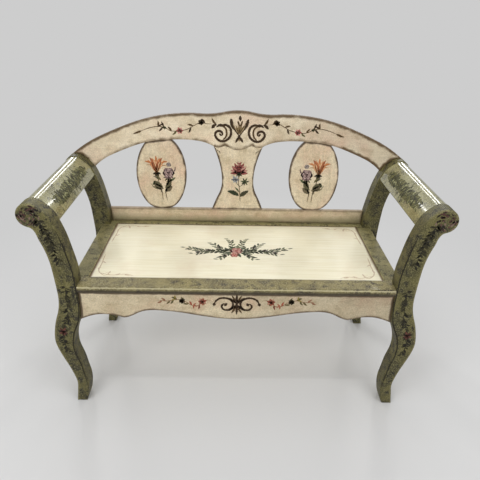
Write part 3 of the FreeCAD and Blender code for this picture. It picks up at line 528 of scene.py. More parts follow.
def antique_cream(name, light, middle, stain, edge_brown, edge_strength, brushed=(4, 60, 60),
                  foot=None, right_end=1.0):
    """Cream milk paint, brushed on and rubbed with a pinkish and a brown stain, then waxed.

    The eye sees dull mottled cream with a brown line at each edge. Foot gives the heights in
    metres at which a stain at the foot is full and where it ends, and its colour; right_end is
    how much darker the colour grows towards the right.
    """
    material, tree, place = new_material(name)
    # clouds about 90 mm across, as a rag leaves them
    clouds = add_node(tree, "ShaderNodeTexNoise", {
        "Vector": place, "Scale": 11, "Detail": 6, "Roughness": 0.62})
    other = add_node(tree, "ShaderNodeMapping", {"Vector": place, "Location": (3.1, 1.7, 5.2)})
    blush = add_node(tree, "ShaderNodeTexNoise", {
        "Vector": other, "Scale": 9, "Detail": 4, "Roughness": 0.55})
    # brush strokes about 80 mm long and 6 mm wide
    along = add_node(tree, "ShaderNodeMapping", {"Vector": place, "Scale": brushed})
    strokes = add_node(tree, "ShaderNodeTexNoise", {"Vector": along, "Scale": 3, "Detail": 5})
    # specks of a millimetre, drawn 3 mm across so that they show
    specks = add_node(tree, "ShaderNodeTexNoise", {
        "Vector": place, "Scale": 330, "Detail": 3, "Roughness": 0.7})
    field = add_node(tree, "ShaderNodeValToRGB", {"Fac": clouds}, stops=[(0.36, middle), (0.62, light)])
    blushed = lay_over(tree, field, stain, blush, 0.5, 0.72, 0.75)
    # brown dirt in patches of about 30 mm
    dirt = add_node(tree, "ShaderNodeTexNoise", {
        "Vector": place, "Scale": 36, "Detail": 6, "Roughness": 0.65})
    dirty = lay_over(tree, blushed, "#9c8862", dirt, 0.5, 0.75, 0.5)
    streak = add_node(tree, "ShaderNodeMapRange", {
        "Value": strokes, "From Min": 0.3, "From Max": 0.7, "To Min": 0.93, "To Max": 1.05})
    grit = add_node(tree, "ShaderNodeMapRange", {
        "Value": specks, "From Min": 0.3, "From Max": 0.7, "To Min": 0.72, "To Max": 1.2})
    shade = add_node(tree, "ShaderNodeMath", {0: streak, 1: grit}, operation="MULTIPLY")
    across = add_node(tree, "ShaderNodeSeparateXYZ", {0: place}).outputs["X"]
    darker = add_node(tree, "ShaderNodeMapRange", {
        "Value": across, "From Min": -0.1, "From Max": 0.4, "To Min": 1.0, "To Max": right_end})
    shade = add_node(tree, "ShaderNodeMath", {0: shade, 1: darker}, operation="MULTIPLY")
    rubbed = add_node(tree, "ShaderNodeVectorMath", {0: dirty, "Scale": shade}, operation="SCALE")
    if foot:
        height = add_node(tree, "ShaderNodeSeparateXYZ", {0: place}).outputs["Z"]
        uneven = add_node(tree, "ShaderNodeMath", {0: blush, 1: 0.03, 2: height}, operation="MULTIPLY_ADD")
        rubbed = lay_over(tree, rubbed, foot[2], uneven, foot[1], foot[0], 0.75)
    rim = add_node(tree, "ShaderNodeAttribute", attribute_name="rim").outputs["Fac"]
    # the edge colour comes and goes along the board every 20 to 30 mm
    uneven = add_node(tree, "ShaderNodeTexNoise", {"Vector": place, "Scale": 42, "Detail": 4})
    edge = add_node(tree, "ShaderNodeMath", {0: uneven, 1: 1.3, 2: rim}, operation="MULTIPLY_ADD")
    colour = lay_over(tree, rubbed, edge_brown, edge, 0.95, 1.65, edge_strength)
    finish_surface(tree, colour, 0.6, 1.45, strokes, 0.1)
    return material


def mirrored(points):
    """The same points on the left half, in the opposite order."""
    return [point * (-1, 1) for point in points[::-1]]


def lined_board(front, back, radius=2, reach=1.0):
    """A board's profile with a painted line about 6 mm wide round its front and rear faces."""
    line = ((14, 0), (10, 0.06), (6.5, 0.5), (3.6, 0.9))
    profile = [(distance * reach, front, rim) for distance, rim in line]
    profile += rounded_edge(radius, front, 1, 3) + rounded_edge(radius, back, -1, 3)[::-1]
    return profile + [(6, back, 0.5), (12, back, 0)]


def post_edge(low, high):
    """Points up the inner edge of the right post between two heights."""
    edge = sweep(POST_INNER_LOWER)[::-1] + sweep(inner_upper)
    inside = [point for point in edge if low < point[1] < high]
    across, heights = zip(*edge)
    ends = [np.array([np.interp(z, heights, across), z]) for z in (low, high)]
    return [ends[0]] + inside + [ends[1]]


APRON_FRONT, APRON_REAR = -253, -233
apron_cream = antique_cream("antiqued_cream_on_apron", "#d8c9a9", "#c5b494", "#cbab8d", "#4a3722",
                            edge_strength=0.85, right_end=0.77)
APRON_SWEEP = [(0, 333, 0), (151, 351, 11), (251, 363, 3), (315, 349, -31), (354, 334, -7)]
APRON_LOBE = [(354, 334, 17), (416, 346, 1), (500, 322, -27)]
half_edge = sweep(APRON_SWEEP) + sweep(APRON_LOBE)[1:]
apron_end = post_edge(329, SEAT_UNDER)
half_edge = [point for point in half_edge if point[0] < apron_end[0][0] - 1]
right_half = half_edge + apron_end
apron_outline = mirrored(right_half[1:]) + right_half
# darkest where it meets the posts
apron_rims = np.array([1.7 if abs(x) > 480 else 1.0 for x, z in apron_outline])
apron = board("front_apron_painted", apron_outline, lined_board(APRON_FRONT, APRON_REAR), "y",
              apron_cream, apron_rims)
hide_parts("front_apron")

# Lower back rail. A straight 18 mm board that stands on the seat frame between the rear posts
# and carries the feet of the splats. Its paint is browner and dirtier than the crest's.

BACK_FRONT, BACK_REAR = 245, 263
RAIL_TOP = 504
rail_cream = antique_cream("antiqued_cream_on_lower_rail", "#d9c8a9", "#c5b494", "#c7a98e", "#5b4b33",
                           edge_strength=0.6, foot=(0.472, 0.5, "#706d48"))
rail_end = post_edge(SEAT_TOP, RAIL_TOP)
rail_stations = np.linspace(-480, 480, 41)
rail_bottom = [(x, SEAT_TOP) for x in rail_stations]
rail_top = [(x, RAIL_TOP) for x in rail_stations[::-1]]
rail_outline = rail_bottom + rail_end + rail_top + mirrored(rail_end)
rail = board("lower_back_rail_painted", rail_outline, lined_board(BACK_FRONT, BACK_REAR), "y",
             rail_cream)
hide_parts("lower_back_rail")

# Crest rail. One 18 mm board sawn to a long arch with a low hump over the centre splat and a
# scalloped drop below it. Its ends are scribed to the rolled tops of the rear posts. Cream
# paint, antiqued, with a brown line along both sawn edges.

CREST_TOP = [(0, 883, 0), (105, 870, -3), (180, 871.5, -1), (400, 829, -21), (617, 713, -40)]
CREST_UNDER = [(541, 662, 132), (390, 748, 159), (205, 776.5, 180), (90, 752.5, 210)]
SCALLOP = [(90, 752.5, 200), (69, 749.5, 170), (50, 757.5, 150)]
SCALLOP_BELLY = [(50, 757.5, 205), (30, 748, 205), (0, 739.5, 180)]


def outside(points, outline):
    """The points of a path that lie outside a closed outline."""
    kept = []
    for point in points:
        here, there = outline, np.roll(outline, -1, 0)
        spans = (here[:, 1] > point[1]) != (there[:, 1] > point[1])
        slope = (there[:, 0] - here[:, 0]) / np.where(spans, there[:, 1] - here[:, 1], 1)
        crossing = here[:, 0] + slope * (point[1] - here[:, 1])
        if (spans & (crossing > point[0])).sum() % 2 == 0:
            kept.append(point)
    return kept


crest_upper = outside(sweep(CREST_TOP), post_outline)
crest_lower = outside(sweep(CREST_UNDER), post_outline)
nearest = [int(np.linalg.norm(post_outline - point, axis=1).argmin())
           for point in (crest_upper[-1], crest_lower[0])]
scribed_end = list(post_outline[nearest[0]:nearest[1] + 1])
crest_half = crest_upper + scribed_end + crest_lower + sweep(SCALLOP)[1:] + sweep(SCALLOP_BELLY)[1:]
crest_outline = np.array(crest_half + mirrored(crest_half[1:-1]))

crest_cream = antique_cream("antiqued_cream_on_crest", "#eddfc4", "#dac9ab", "#dbbba1", "#5b462a",
                            edge_strength=0.95, right_end=0.84)


def crest_line_and_shade(x, z):
    """How dark the edge line is: strong on top, fainter below, and darkest along the lower edge at the right
    end, where it is painted shade.
    """
    in_scallop = abs(x) < 92 and z < 770
    on_top = z > 1030 - abs(x) * 0.6 or z > 829
    if in_scallop:
        return 0.85
    if on_top:
        return 1.1
    # painted shade: the line is darkest along the lower edge at the right end
    return 1.3 if x > 385 else 0.7


crest_lines_and_shade = np.array([crest_line_and_shade(x, z) for x, z in crest_outline])
crest = board("crest_rail_painted", crest_outline, lined_board(BACK_FRONT, BACK_REAR, 2, 1.5), "y",
              crest_cream, crest_lines_and_shade)
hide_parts("crest_rail")

# Splats. A waisted board in the middle and an oval on each side, 14 mm thick, tongued into the
# rail and the crest, painted with the crest and lined round their edges in dark brown.

SPLAT_FRONT, SPLAT_REAR = 246.8, 261
SPLAT_EDGE = [(97, RAIL_TOP, 109), (59.5, 618, 90), (91, 753, 67)]
splat_cream = antique_cream("antiqued_cream_on_splats", "#e6d7bb", "#d2c1a2", "#dab99e", "#453320",
                            edge_strength=0.95, brushed=(60, 60, 5))


def under_crest(x):
    """The height of the crest's lower edge above a place on the rail."""
    lower = np.array(crest_half[len(crest_upper):])
    order = lower[np.argsort(lower[:, 0])]
    return float(np.interp(x, order[:, 0], order[:, 1]))


splat_half = sweep(SPLAT_EDGE)
splat_head = [(x, under_crest(abs(x))) for x in np.linspace(90, -90, 61)]
splat_outline = splat_half + splat_head + mirrored(splat_half)
# a full line up both sides and a faint one under the crest
splat_rims = np.array([1.0] * len(splat_half) + [0.3] * len(splat_head) + [1.0] * len(splat_half))
splat_profile = lined_board(SPLAT_FRONT, SPLAT_REAR, 1.5)
centre_splat = board("centre_splat_painted", splat_outline, splat_profile, "y", splat_cream, splat_rims)
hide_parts("centre_splat")

OVAL_CENTRE, OVAL_HALF = (288, 641), (94, 149.5)
OVAL_FOOT, FOOT_EASING = 498, 300
oval_outline = []
for angle in [2 * math.pi * i / 240 for i in range(240)]:
    x = OVAL_CENTRE[0] + OVAL_HALF[0] * math.cos(angle)
    z = OVAL_CENTRE[1] + OVAL_HALF[1] * math.sin(angle)
    if z > 700:
        z = min(z, under_crest(x))
    # the foot is flattened where it stands on the rail
    gap = z - OVAL_FOOT
    oval_outline.append((x, OVAL_FOOT + (gap + math.sqrt(gap * gap + FOOT_EASING)) / 2))
for side, side_name in SIDES:
    oval = board(f"{side_name}_oval_splat_painted", mirror(oval_outline, side), splat_profile, "y",
                 splat_cream)
    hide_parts(f"{side_name}_oval_splat")

# Brushwork on the crest. Freehand oil paint in thin strokes: a tulip between two C-scrolls in
# the middle, and a vine with small round flowers that runs out along each side.


def brush_tree():
    """A ribbon of paint along each drawn line, as wide there as the line's half_width says."""
    tree = bpy.data.node_groups.new("brush_strokes", "GeometryNodeTree")
    for label, kind in (("Lines", "Geometry"), ("Breadth", "Float"), ("Points across", "Int"),
                        ("Paint", "Material")):
        tree.interface.new_socket(label, in_out="INPUT", socket_type="NodeSocket" + kind)
    tree.interface.new_socket("Strokes", in_out="OUTPUT", socket_type="NodeSocketGeometry")
    entry = add_node(tree, "NodeGroupInput").outputs
    path = add_node(tree, "GeometryNodeMeshToCurve", {"Mesh": entry["Lines"]})
    path = add_node(tree, "GeometryNodeSetCurveNormal", {"Curve": path}, mode="Z_UP")
    width = add_node(tree, "GeometryNodeInputNamedAttribute", {"Name": "half_width"}, data_type="FLOAT")
    scale = add_node(tree, "ShaderNodeMath", {0: width, 1: entry["Breadth"]}, operation="MULTIPLY")
    across = add_node(tree, "GeometryNodeCurvePrimitiveLine", {"Start": (-1, 0, 0), "End": (1, 0, 0)})
    across = add_node(tree, "GeometryNodeResampleCurve", {"Curve": across, "Count": entry["Points across"]})
    spot = add_node(tree, "GeometryNodeInputPosition")
    side = add_node(tree, "ShaderNodeSeparateXYZ", {0: spot}).outputs["X"]
    across = add_node(tree, "GeometryNodeStoreNamedAttribute", {
        "Geometry": across, "Name": "across", "Value": side})
    ribbon = add_node(tree, "GeometryNodeCurveToMesh", {
        "Curve": path, "Profile Curve": across, "Scale": scale})
    real = add_node(tree, "GeometryNodeRealizeInstances", {0: ribbon})
    painted = add_node(tree, "GeometryNodeSetMaterial", {0: real, "Material": entry["Paint"]})
    add_node(tree, "NodeGroupOutput", {0: painted})
    return tree


# Thinned oil paint: each stroke has its own tint, thicker and thinner every 3 mm, and lets the
# ground show through where it runs dry at its edges.
oil_paint, tree, place = new_material("thinned_oil_paint_strokes")
tint = add_node(tree, "ShaderNodeAttribute", attribute_name="tint").outputs["Color"]
patchy = add_node(tree, "ShaderNodeTexNoise", {"Vector": place, "Scale": 330, "Detail": 3})
shade = add_node(tree, "ShaderNodeMapRange", {
    "Value": patchy, "From Min": 0.3, "From Max": 0.7, "To Min": 0.75, "To Max": 1.3})
colour = add_node(tree, "ShaderNodeVectorMath", {0: tint, "Scale": shade}, operation="SCALE")
side = add_node(tree, "ShaderNodeAttribute", attribute_name="across").outputs["Fac"]
side = add_node(tree, "ShaderNodeMath", {0: side}, operation="ABSOLUTE")
ragged = add_node(tree, "ShaderNodeMath", {0: side, 1: patchy}, operation="ADD")
alpha = add_node(tree, "ShaderNodeMapRange", {"Value": ragged, "From Min": 1.5, "From Max": 1.25})
shader = add_node(tree, "ShaderNodeBsdfPrincipled", {
    "Base Color": colour, "Alpha": alpha, "Roughness": 0.6, "IOR": 1.4})
add_node(tree, "ShaderNodeOutputMaterial", {"Surface": shader})
strokes_tree = brush_tree()


POINT_SPACING = 3.5


def stroke(drawing, stops, width, tint, level=0, fullest=0.5):
    """Add one stroke through its stops; fullest says where along it the brush presses hardest.

    A stroke on a higher level lies over the lower ones. Where fullest is None, the width is even.
    """
    stops = np.array(stops, float)
    spans = np.linalg.norm(np.diff(stops, axis=0), axis=1)
    knots = np.concatenate([[0], np.cumsum(spans)])
    slopes = np.gradient(stops, knots, axis=0)
    count = max(6, int(knots[-1] / POINT_SPACING))
    points = []
    for t in np.linspace(0, knots[-1], count):
        k = min(np.searchsorted(knots, t, "right") - 1, len(spans) - 1)
        u, h = (t - knots[k]) / spans[k], spans[k]
        points.append((2 * u**3 - 3 * u**2 + 1) * stops[k] + (u**3 - 2 * u**2 + u) * h * slopes[k]
                      + (3 * u**2 - 2 * u**3) * stops[k + 1] + (u**3 - u**2) * h * slopes[k + 1])
    along = np.linspace(0, 1, count)
    if fullest is None:
        press = np.minimum(1, np.minimum(along, 1 - along) * 8 + 0.25)
    else:
        press = np.sin(math.pi * along ** (math.log(0.5) / math.log(fullest))) ** 0.75
        press[[0, -1]] = 0.06
    drawing.append((np.array(points), press * width / 2, tint, level))


def leaf(drawing, base, heading, length, width, tint, level=0, bend=0, fullest=0.45):
    """One leaf or petal that leaves its base along a heading and bends by so many degrees."""
    stops = [np.array(base, float)]
    for i in range(1, 4):
        angle = math.radians(heading + bend * (i - 0.5) / 3)
        stops.append(stops[-1] + np.array([math.cos(angle), math.sin(angle)]) * length / 3)
    stroke(drawing, stops, width, tint, level, fullest)
    return stops[-1]


def fan(drawing, base, heading, spread, count, length, width, tints, level=0, bend=0):
    """Petals or leaves fanned out evenly round a heading, their tints taken in turn."""
    for i in range(count):
        lean = -spread + 2 * spread * i / max(1, count - 1)
        reach = length * (1 - 0.12 * abs(lean) / 90)
        leaf(drawing, base, heading + lean, reach, width, tints[i % len(tints)], level,
             bend * (1 if lean > 0 else -1 if lean < 0 else 0))


def rose(drawing, centre, radius, dark, middle, light, level=0):
    """A full flower: a broad stroke under four rounds of curved ones, the last a dark heart."""
    x, y = centre
    stroke(drawing, [(x - radius, y), (x + radius, y)], radius * 1.5, middle, level)
    rounds = ((0.74, 6, middle, 0.6), (0.62, 5, light, 0.24), (0.36, 3, light, 0.2), (0.16, 3, dark, 0.36))
    for turn, (reach, count, tint, width) in enumerate(rounds):
        for i in range(count):
            angle = 360 * (i + 0.4 * turn + random.uniform(-0.2, 0.2)) / count
            stops = []
            for lean in (-42, 0, 42):
                direction = math.radians(angle + lean)
                stops.append((x + radius * reach * math.cos(direction),
                              y + radius * reach * math.sin(direction)))
            stroke(drawing, stops, radius * width, tint, level + turn)


def vine(drawing, stops, width, tint, spots, length, breadth, level=0):
    """A thin stem with leaves at shares of its length; each spot is (share, lean, tint)."""
    stroke(drawing, stops, width, tint, level, None)
    points = drawing[-1][0]
    for share, lean, leaf_tint in spots:
        k = min(int(share * (len(points) - 1)), len(points) - 2)
        run = points[k + 1] - points[k]
        heading = math.degrees(math.atan2(run[1], run[0]))
        leaf(drawing, points[k], heading + lean, length, breadth, leaf_tint, level + 1,
             bend=-lean * 0.4)


PAINT_LIFT, LEVEL_LIFT = 0.12, 0.05


def brushwork(name, drawing, lay):
    """Turn a drawing in flat millimetres into strokes laid on a surface by lay(u, v, height)."""
    lines = bpy.data.meshes.new(name + "_lines")
    spots, edges, widths, tints = [], [], [], []
    for points, press, tint, level in drawing:
        start = len(spots)
        spots += [(u, v, PAINT_LIFT + LEVEL_LIFT * level) for u, v in points]
        edges += [(start + i, start + i + 1) for i in range(len(points) - 1)]
        widths += list(press)
        tints += [linear(tint)] * len(points)
    lines.from_pydata(spots, edges, [])
    lines.attributes.new("half_width", "FLOAT", "POINT").data.foreach_set("value", widths)
    lines.attributes.new("tint", "FLOAT_COLOR", "POINT").data.foreach_set("color", np.ravel(tints))
    holder = bpy.data.objects.new(name + "_lines", lines)
    bpy.context.collection.objects.link(holder)
    modifier = holder.modifiers.new("brush", "NODES")
    modifier.node_group = strokes_tree
    values = {"Breadth": 1.0, "Points across": 5, "Paint": oil_paint}
    for item in strokes_tree.interface.items_tree:
        if item.in_out == "INPUT" and item.name in values:
            modifier[item.identifier] = values[item.name]
    shown = holder.evaluated_get(bpy.context.evaluated_depsgraph_get())
    mesh = bpy.data.meshes.new_from_object(shown)
    bpy.data.objects.remove(holder)
    if sum(face.normal.z for face in mesh.polygons) < 0:
        mesh.flip_normals()
    for vertex in mesh.vertices:
        vertex.co = [v / 1000 for v in lay(*vertex.co)]
    for face in mesh.polygons:
        face.use_smooth = True
    piece = bpy.data.objects.new(name, mesh)
    bpy.context.collection.objects.link(piece)
    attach(piece, "root")
    return piece


def flipped(drawing, about=0):
    """The same drawing mirrored from right to left."""
    return [(points * (-1, 1) + (2 * about, 0), press, tint, level)
            for points, press, tint, level in drawing]


UMBER, BROWN, OCHRE, OLIVE = "#35230d", "#4f3a1d", "#8a7350", "#5b5432"
DEEP_GREEN, LEAF_GREEN, ROSE_PINK, RUST = "#2c3320", "#4a5236", "#c98c84", "#9a4f38"

tulip = []
for i in range(7):
    stroke(tulip, [(-17 + 7.4 * i, 837 - abs(i - 3) * 2.2), (3 + (i - 3) * 1.2, 799)], 6.5,
           (OCHRE, "#6d5837")[i % 2], 0)
stroke(tulip, [(-28, 857), (-23, 832), (-9, 812), (3, 790)], 14, UMBER, 1, 0.3)
stroke(tulip, [(36, 855), (28, 832), (15, 812), (3, 790)], 14, UMBER, 1, 0.3)
stroke(tulip, [(-21, 838), (-9, 816), (1, 800)], 3.4, "#a08a66", 2)
stroke(tulip, [(26, 838), (16, 816), (6, 800)], 3.4, "#a08a66", 2)
stroke(tulip, [(5.5, 868), (5.5, 846)], 12, UMBER, 1)
stroke(tulip, [(-3, 850), (0, 838), (5.5, 826)], 8, BROWN, 1)
stroke(tulip, [(14, 850), (11, 838), (5.5, 826)], 8, BROWN, 1)
stroke(tulip, [(3, 799), (3, 781)], 12, UMBER, 2)
leaf(tulip, (2, 790), -120, 26, 10, UMBER, 1)
leaf(tulip, (4, 790), -58, 26, 11, UMBER, 1)
leaf(tulip, (3, 788), -90, 17, 7, OCHRE, 1)

scroll = []
stroke(scroll, [(78, 826), (61, 833), (45, 826), (38, 810), (42, 790), (56, 776), (75, 773), (90, 783),
                (96, 798), (89, 809), (78, 810), (70, 803), (71, 795), (78, 793)], 10, UMBER, 1, None)
stroke(scroll, [(88, 829), (70, 829), (58, 820), (54, 803), (58, 787), (68, 778)], 7.5, BROWN, 0, None)
stroke(scroll, [(66, 834), (80, 832), (93, 824)], 10, UMBER, 2)
stroke(scroll, [(88, 834), (98, 831), (109, 819)], 13, UMBER, 1, 0.6)
stroke(scroll, [(75, 801), (80, 795)], 11, UMBER, 2)
stroke(scroll, [(91, 833), (101, 843), (108, 857)], 9, BROWN, 1)

trail = []
vine(trail, [(100, 836), (120, 836), (139, 841), (163, 830), (190, 815), (217, 809), (252, 809), (272, 820),
             (298, 823), (335, 815), (362, 804)], 3, BROWN,
     [(0.1, 40, UMBER), (0.27, 55, BROWN), (0.3, -45, UMBER), (0.5, -45, OLIVE), (0.57, 45, BROWN),
      (0.68, 70, UMBER), (0.7, -70, UMBER), (0.76, 120, BROWN)], 22, 8)
leaf(trail, (356, 807), -28, 34, 9, BROWN, 1, 15)
leaf(trail, (296, 823), 150, 22, 7, UMBER, 1)
fan(trail, (139, 841), 0, 150, 6, 13, 11, (UMBER, "#33260f"), 2)
fan(trail, (217, 809), 30, 150, 6, 15, 11, ("#a5645a", ROSE_PINK, "#93504a"), 2)
stroke(trail, [(213, 809), (221, 809)], 6, "#5e3a2c", 4)
fan(trail, (272, 819), 0, 150, 5, 8, 6, (DEEP_GREEN, OLIVE), 2)
crest_drawing = tulip + scroll + flipped(scroll, 5.5) + trail + flipped(trail, 2)
brushwork("crest_brushwork", crest_drawing, lambda u, v, h: (u, BACK_FRONT - h, v))

# Brushwork on the centre splat. One red flower with a grey-blue bud and dark leaves under it,
# on a short stem.

spray = []
stroke(spray, [(5, 650), (3, 622), (7, 590), (11, 538)], 3, BROWN, 0, None)
leaf(spray, (5, 560), 140, 48, 20, DEEP_GREEN, 1, 35)
leaf(spray, (8, 557), 40, 42, 19, "#3d3a26", 1, -10)
leaf(spray, (6, 575), 120, 26, 7, LEAF_GREEN, 1, 20)
fan(spray, (27, 616), 60, 160, 7, 19, 7, (DEEP_GREEN, LEAF_GREEN), 1)
stroke(spray, [(6, 596), (18, 604), (27, 616)], 2.4, DEEP_GREEN, 0, None)
stroke(spray, [(5, 600), (-4, 612), (-9, 624)], 2.4, DEEP_GREEN, 0, None)
fan(spray, (-9, 625), 90, 150, 6, 18, 10, ("#8b8e92", "#6b6e76", "#a5a5a2"), 1)
stroke(spray, [(-11, 625), (-6, 625)], 5, "#4a4650", 3)
fan(spray, (5, 650), 90, 84, 9, 38, 14, ("#8f4c49", "#ae7970", "#7d413d"), 1, 12)
fan(spray, (5, 662), 90, 66, 6, 36, 11, ("#bd9384", "#8f4e49", "#a36a61"), 3, -14)
for low, half in ((658, 17), (668, 22), (678, 19), (688, 11)):
    stroke(spray, [(5 - half, low + 7), (1, low), (12, low + 2), (5 + half, low + 8)], 4.5, "#74352f", 4)
for i in range(3):
    stroke(spray, [(-12 + 12 * i, 682), (-4 + 8 * i, 668), (5, 655)], 4,
           ("#5b2827", "#7c3d38")[i % 2], 5, 0.4)
fan(spray, (5, 651), -90, 40, 3, 17, 8, (DEEP_GREEN,), 2)
brushwork("centre_splat_brushwork", spray, lambda u, v, h: (u, SPLAT_FRONT - h, v))

# Brushwork on the oval splats. A rust-coloured lily and a mauve rose on crossed stems, with
# broad dark leaves; the right oval mirrors the left.

posy = []
random.seed(7)
stroke(posy, [(305, 655), (300, 615), (289, 575), (286, 536)], 3, BROWN, 0, None)
stroke(posy, [(258, 640), (264, 608), (274, 575), (270, 536)], 3, BROWN, 0, None)
stroke(posy, [(281, 585), (318, 590), (330, 606)], 2.4, LEAF_GREEN, 0, None)
for base, heading, length, width, tint, bend in (
        ((278, 576), 165, 36, 20, "#645a44", -40), ((276, 586), 140, 44, 19, "#565139", -35),
        ((272, 596), 120, 34, 11, "#736b50", -20), ((270, 584), 150, 30, 5, "#958c6e", -35),
        ((283, 584), 15, 44, 20, "#645a44", 35), ((286, 590), 46, 42, 17, "#565139", -20),
        ((296, 584), 5, 32, 9, "#736b50", 30), ((290, 588), 28, 32, 4, "#958c6e", 10),
        ((276, 566), 105, 26, 8, "#645a44", 10), ((288, 566), 75, 24, 8, "#645a44", -10),
        ((322, 598), 110, 22, 9, LEAF_GREEN, 20), ((290, 618), 35, 34, 10, OLIVE, 40),
        ((268, 612), 165, 38, 10, LEAF_GREEN, -30), ((244, 650), 140, 26, 6, "#6b5a55", -60),
        ((300, 620), 60, 26, 6, "#5d584a", -50)):
    leaf(posy, base, heading, length, width, tint, 1, bend)
fan(posy, (305, 650), -90, 60, 4, 19, 10, ("#2e2716",), 2)
stroke(posy, [(306, 644), (306, 700)], 36, "#cb9870", 1, 0.6)
fan(posy, (306, 646), 90, 22, 6, 62, 13, ("#c48256", "#b06b45", "#cf9c70"), 2, 16)
fan(posy, (306, 652), 90, 15, 4, 46, 7, ("#a25c3a", "#d8aa80"), 4, 12)
for lean in (-40, -20, 0, 20, 40):
    tip = (306 + lean * 0.52, 690 - abs(lean) * 0.15)
    leaf(posy, tip, 90 - lean, 24, 8, ("#b87546", "#9c5c39")[abs(lean) % 40 // 20], 5, -lean * 1.6)
    leaf(posy, (306 + lean * 0.2, 662), 90 - lean * 0.6, 22, 4, "#7d4928", 6, lean * 0.5)
for lean in (-42, 42):
    leaf(posy, (305, 665), 92 + lean, 44, 4, "#a77b52", 1, lean * 1.6)
rose(posy, (261, 647), 23, "#2e201f", "#866d6b", "#b09893", 2)
rose(posy, (259, 680), 9, "#544646", "#877b79", "#a59b95", 2)
fan(posy, (262, 632), -90, 80, 5, 22, 8, ("#43432f", "#4b4733"), 1)
for side, side_name in SIDES:
    drawing = posy if side == RIGHT else flipped(posy)
    brushwork(f"{side_name}_oval_brushwork", drawing, lambda u, v, h: (u, SPLAT_FRONT - h, v))

# Brushwork on the apron. A small palmette between two C-scrolls, with rust flowers and a dark
# berry trailing off to each side.

palmette = []
fan(palmette, (0, 390), 90, 40, 5, 36, 9, (UMBER, BROWN), 1, 14)
fan(palmette, (0, 388), -90, 40, 5, 38, 9, (UMBER, BROWN), 1, 14)
stroke(palmette, [(0, 402), (0, 376)], 9, UMBER, 2)
sprig = []
stroke(sprig, [(-71, 387), (-66, 399), (-54, 409), (-41, 412), (-24, 408), (-12, 394), (-14, 378), (-27, 368),
               (-41, 370), (-47, 381), (-41, 390), (-33, 389)], 7.6, UMBER, 1, None)
stroke(sprig, [(-72, 382), (-69, 395)], 11, UMBER, 2)
stroke(sprig, [(-39, 390), (-30, 385)], 15, UMBER, 2)
vine(sprig, [(-78, 402), (-95, 403), (-108, 394), (-124, 382), (-142, 384), (-158, 396), (-186, 404),
             (-215, 398), (-250, 402)], 2.6, "#7d5a3c",
     [(0.12, 50, OLIVE), (0.15, -50, RUST), (0.25, 50, "#6e3b2a"), (0.38, -55, RUST), (0.45, 50, "#5d5230"),
      (0.53, -50, OLIVE), (0.66, -45, "#5d5230"), (0.72, 50, OLIVE), (0.78, 40, "#5d5230"),
      (0.86, -45, "#8a6046"), (0.92, 50, "#8a6046")], 18, 7)
fan(sprig, (-108, 397), 20, 150, 7, 16, 9, ("#8c4a38", "#9c5a44", "#b07a64"), 2)
fan(sprig, (-171, 399), 0, 150, 6, 12, 10, (UMBER, "#3b3520"), 2)
fan(sprig, (-190, 406), 150, 50, 3, 15, 6, ("#8a7a3c", OLIVE), 2)
fan(sprig, (-136, 384), -20, 60, 3, 14, 5, (RUST,), 2)
brushwork("apron_brushwork", palmette + sprig + flipped(sprig), lambda u, v, h: (u, APRON_FRONT - h, v))

# Brushwork on the seat. A garland with one pink rose in the middle and leafy sprays to both
# sides, and a thin scrolled corner line in each corner.

garland = []
random.seed(11)
greens = (DEEP_GREEN, "#47503a", "#6f7358", "#39422c")
for reach, lift, tip, leaves in ((88, 18, 60, 6), (182, 0, 24, 11), (150, -6, -22, 8), (62, -30, -62, 5),
                                 (28, 60, 96, 5)):
    stops = [(16, 0), (reach * 0.55, lift * 0.8), (reach, tip)]
    spots = []
    for i in range(leaves):
        share = 0.12 + 0.84 * i / leaves
        spots.append((share, 38 + random.random() * 30, greens[i % 4]))
        spots.append((share + 0.03, -38 - random.random() * 30, greens[(i + 2) % 4]))
    vine(garland, stops, 2.2, "#5d6048", spots, 20, 9)
    leaf(garland, (reach, tip), 10, 18, 7, greens[1], 1)
for x, y in ((60, 28), (98, 6), (134, -12), (40, -34)):
    fan(garland, (x, y), 45, 150, 6, 11, 8, ("#3a3f2e", "#6e625a", "#8d8478"), 2)
sides = garland + flipped(garland, -1)
for angle in range(0, 360, 40):
    base = (14 * math.cos(math.radians(angle)), 14 * math.sin(math.radians(angle)))
    leaf(sides, base, angle, 34, 14, greens[angle // 40 % 4], 2, 20)
rose(sides, (-2, 2), 23, "#8a4a43", "#b0746a", "#cfa194", 4)
rose(sides, (-9, -31), 15, "#8a4038", "#b06458", "#c98f80", 4)
corner = []
for stops in ([(452, 60), (449, 120), (440, 190), (420, 205), (411, 194), (424, 186)],
              [(440, 190), (400, 203), (350, 198), (330, 206)]):
    stroke(corner, stops, 3.2, "#c8b294", 0, None)
for x, y, heading in ((449, 110, 120), (446, 150, 60), (390, 203, 200), (360, 199, 150), (414, 196, 240)):
    leaf(corner, (x, y), heading, 20, 6, "#cdb89e", 1, 30)
near_corner = [(points * (1, -1) + (0, 24), press, tint, level)
               for points, press, tint, level in corner]
seat_drawing = sides + corner + flipped(corner) + near_corner + flipped(near_corner)
brushwork("seat_brushwork", seat_drawing, lambda u, v, h: (u, v, PANEL_TOP + h))

# Brushwork on the front posts. A rusty flower on the rolled end, dark leaves down the curve
# below it, and a second vine with a small red flower from the seat to the knee.

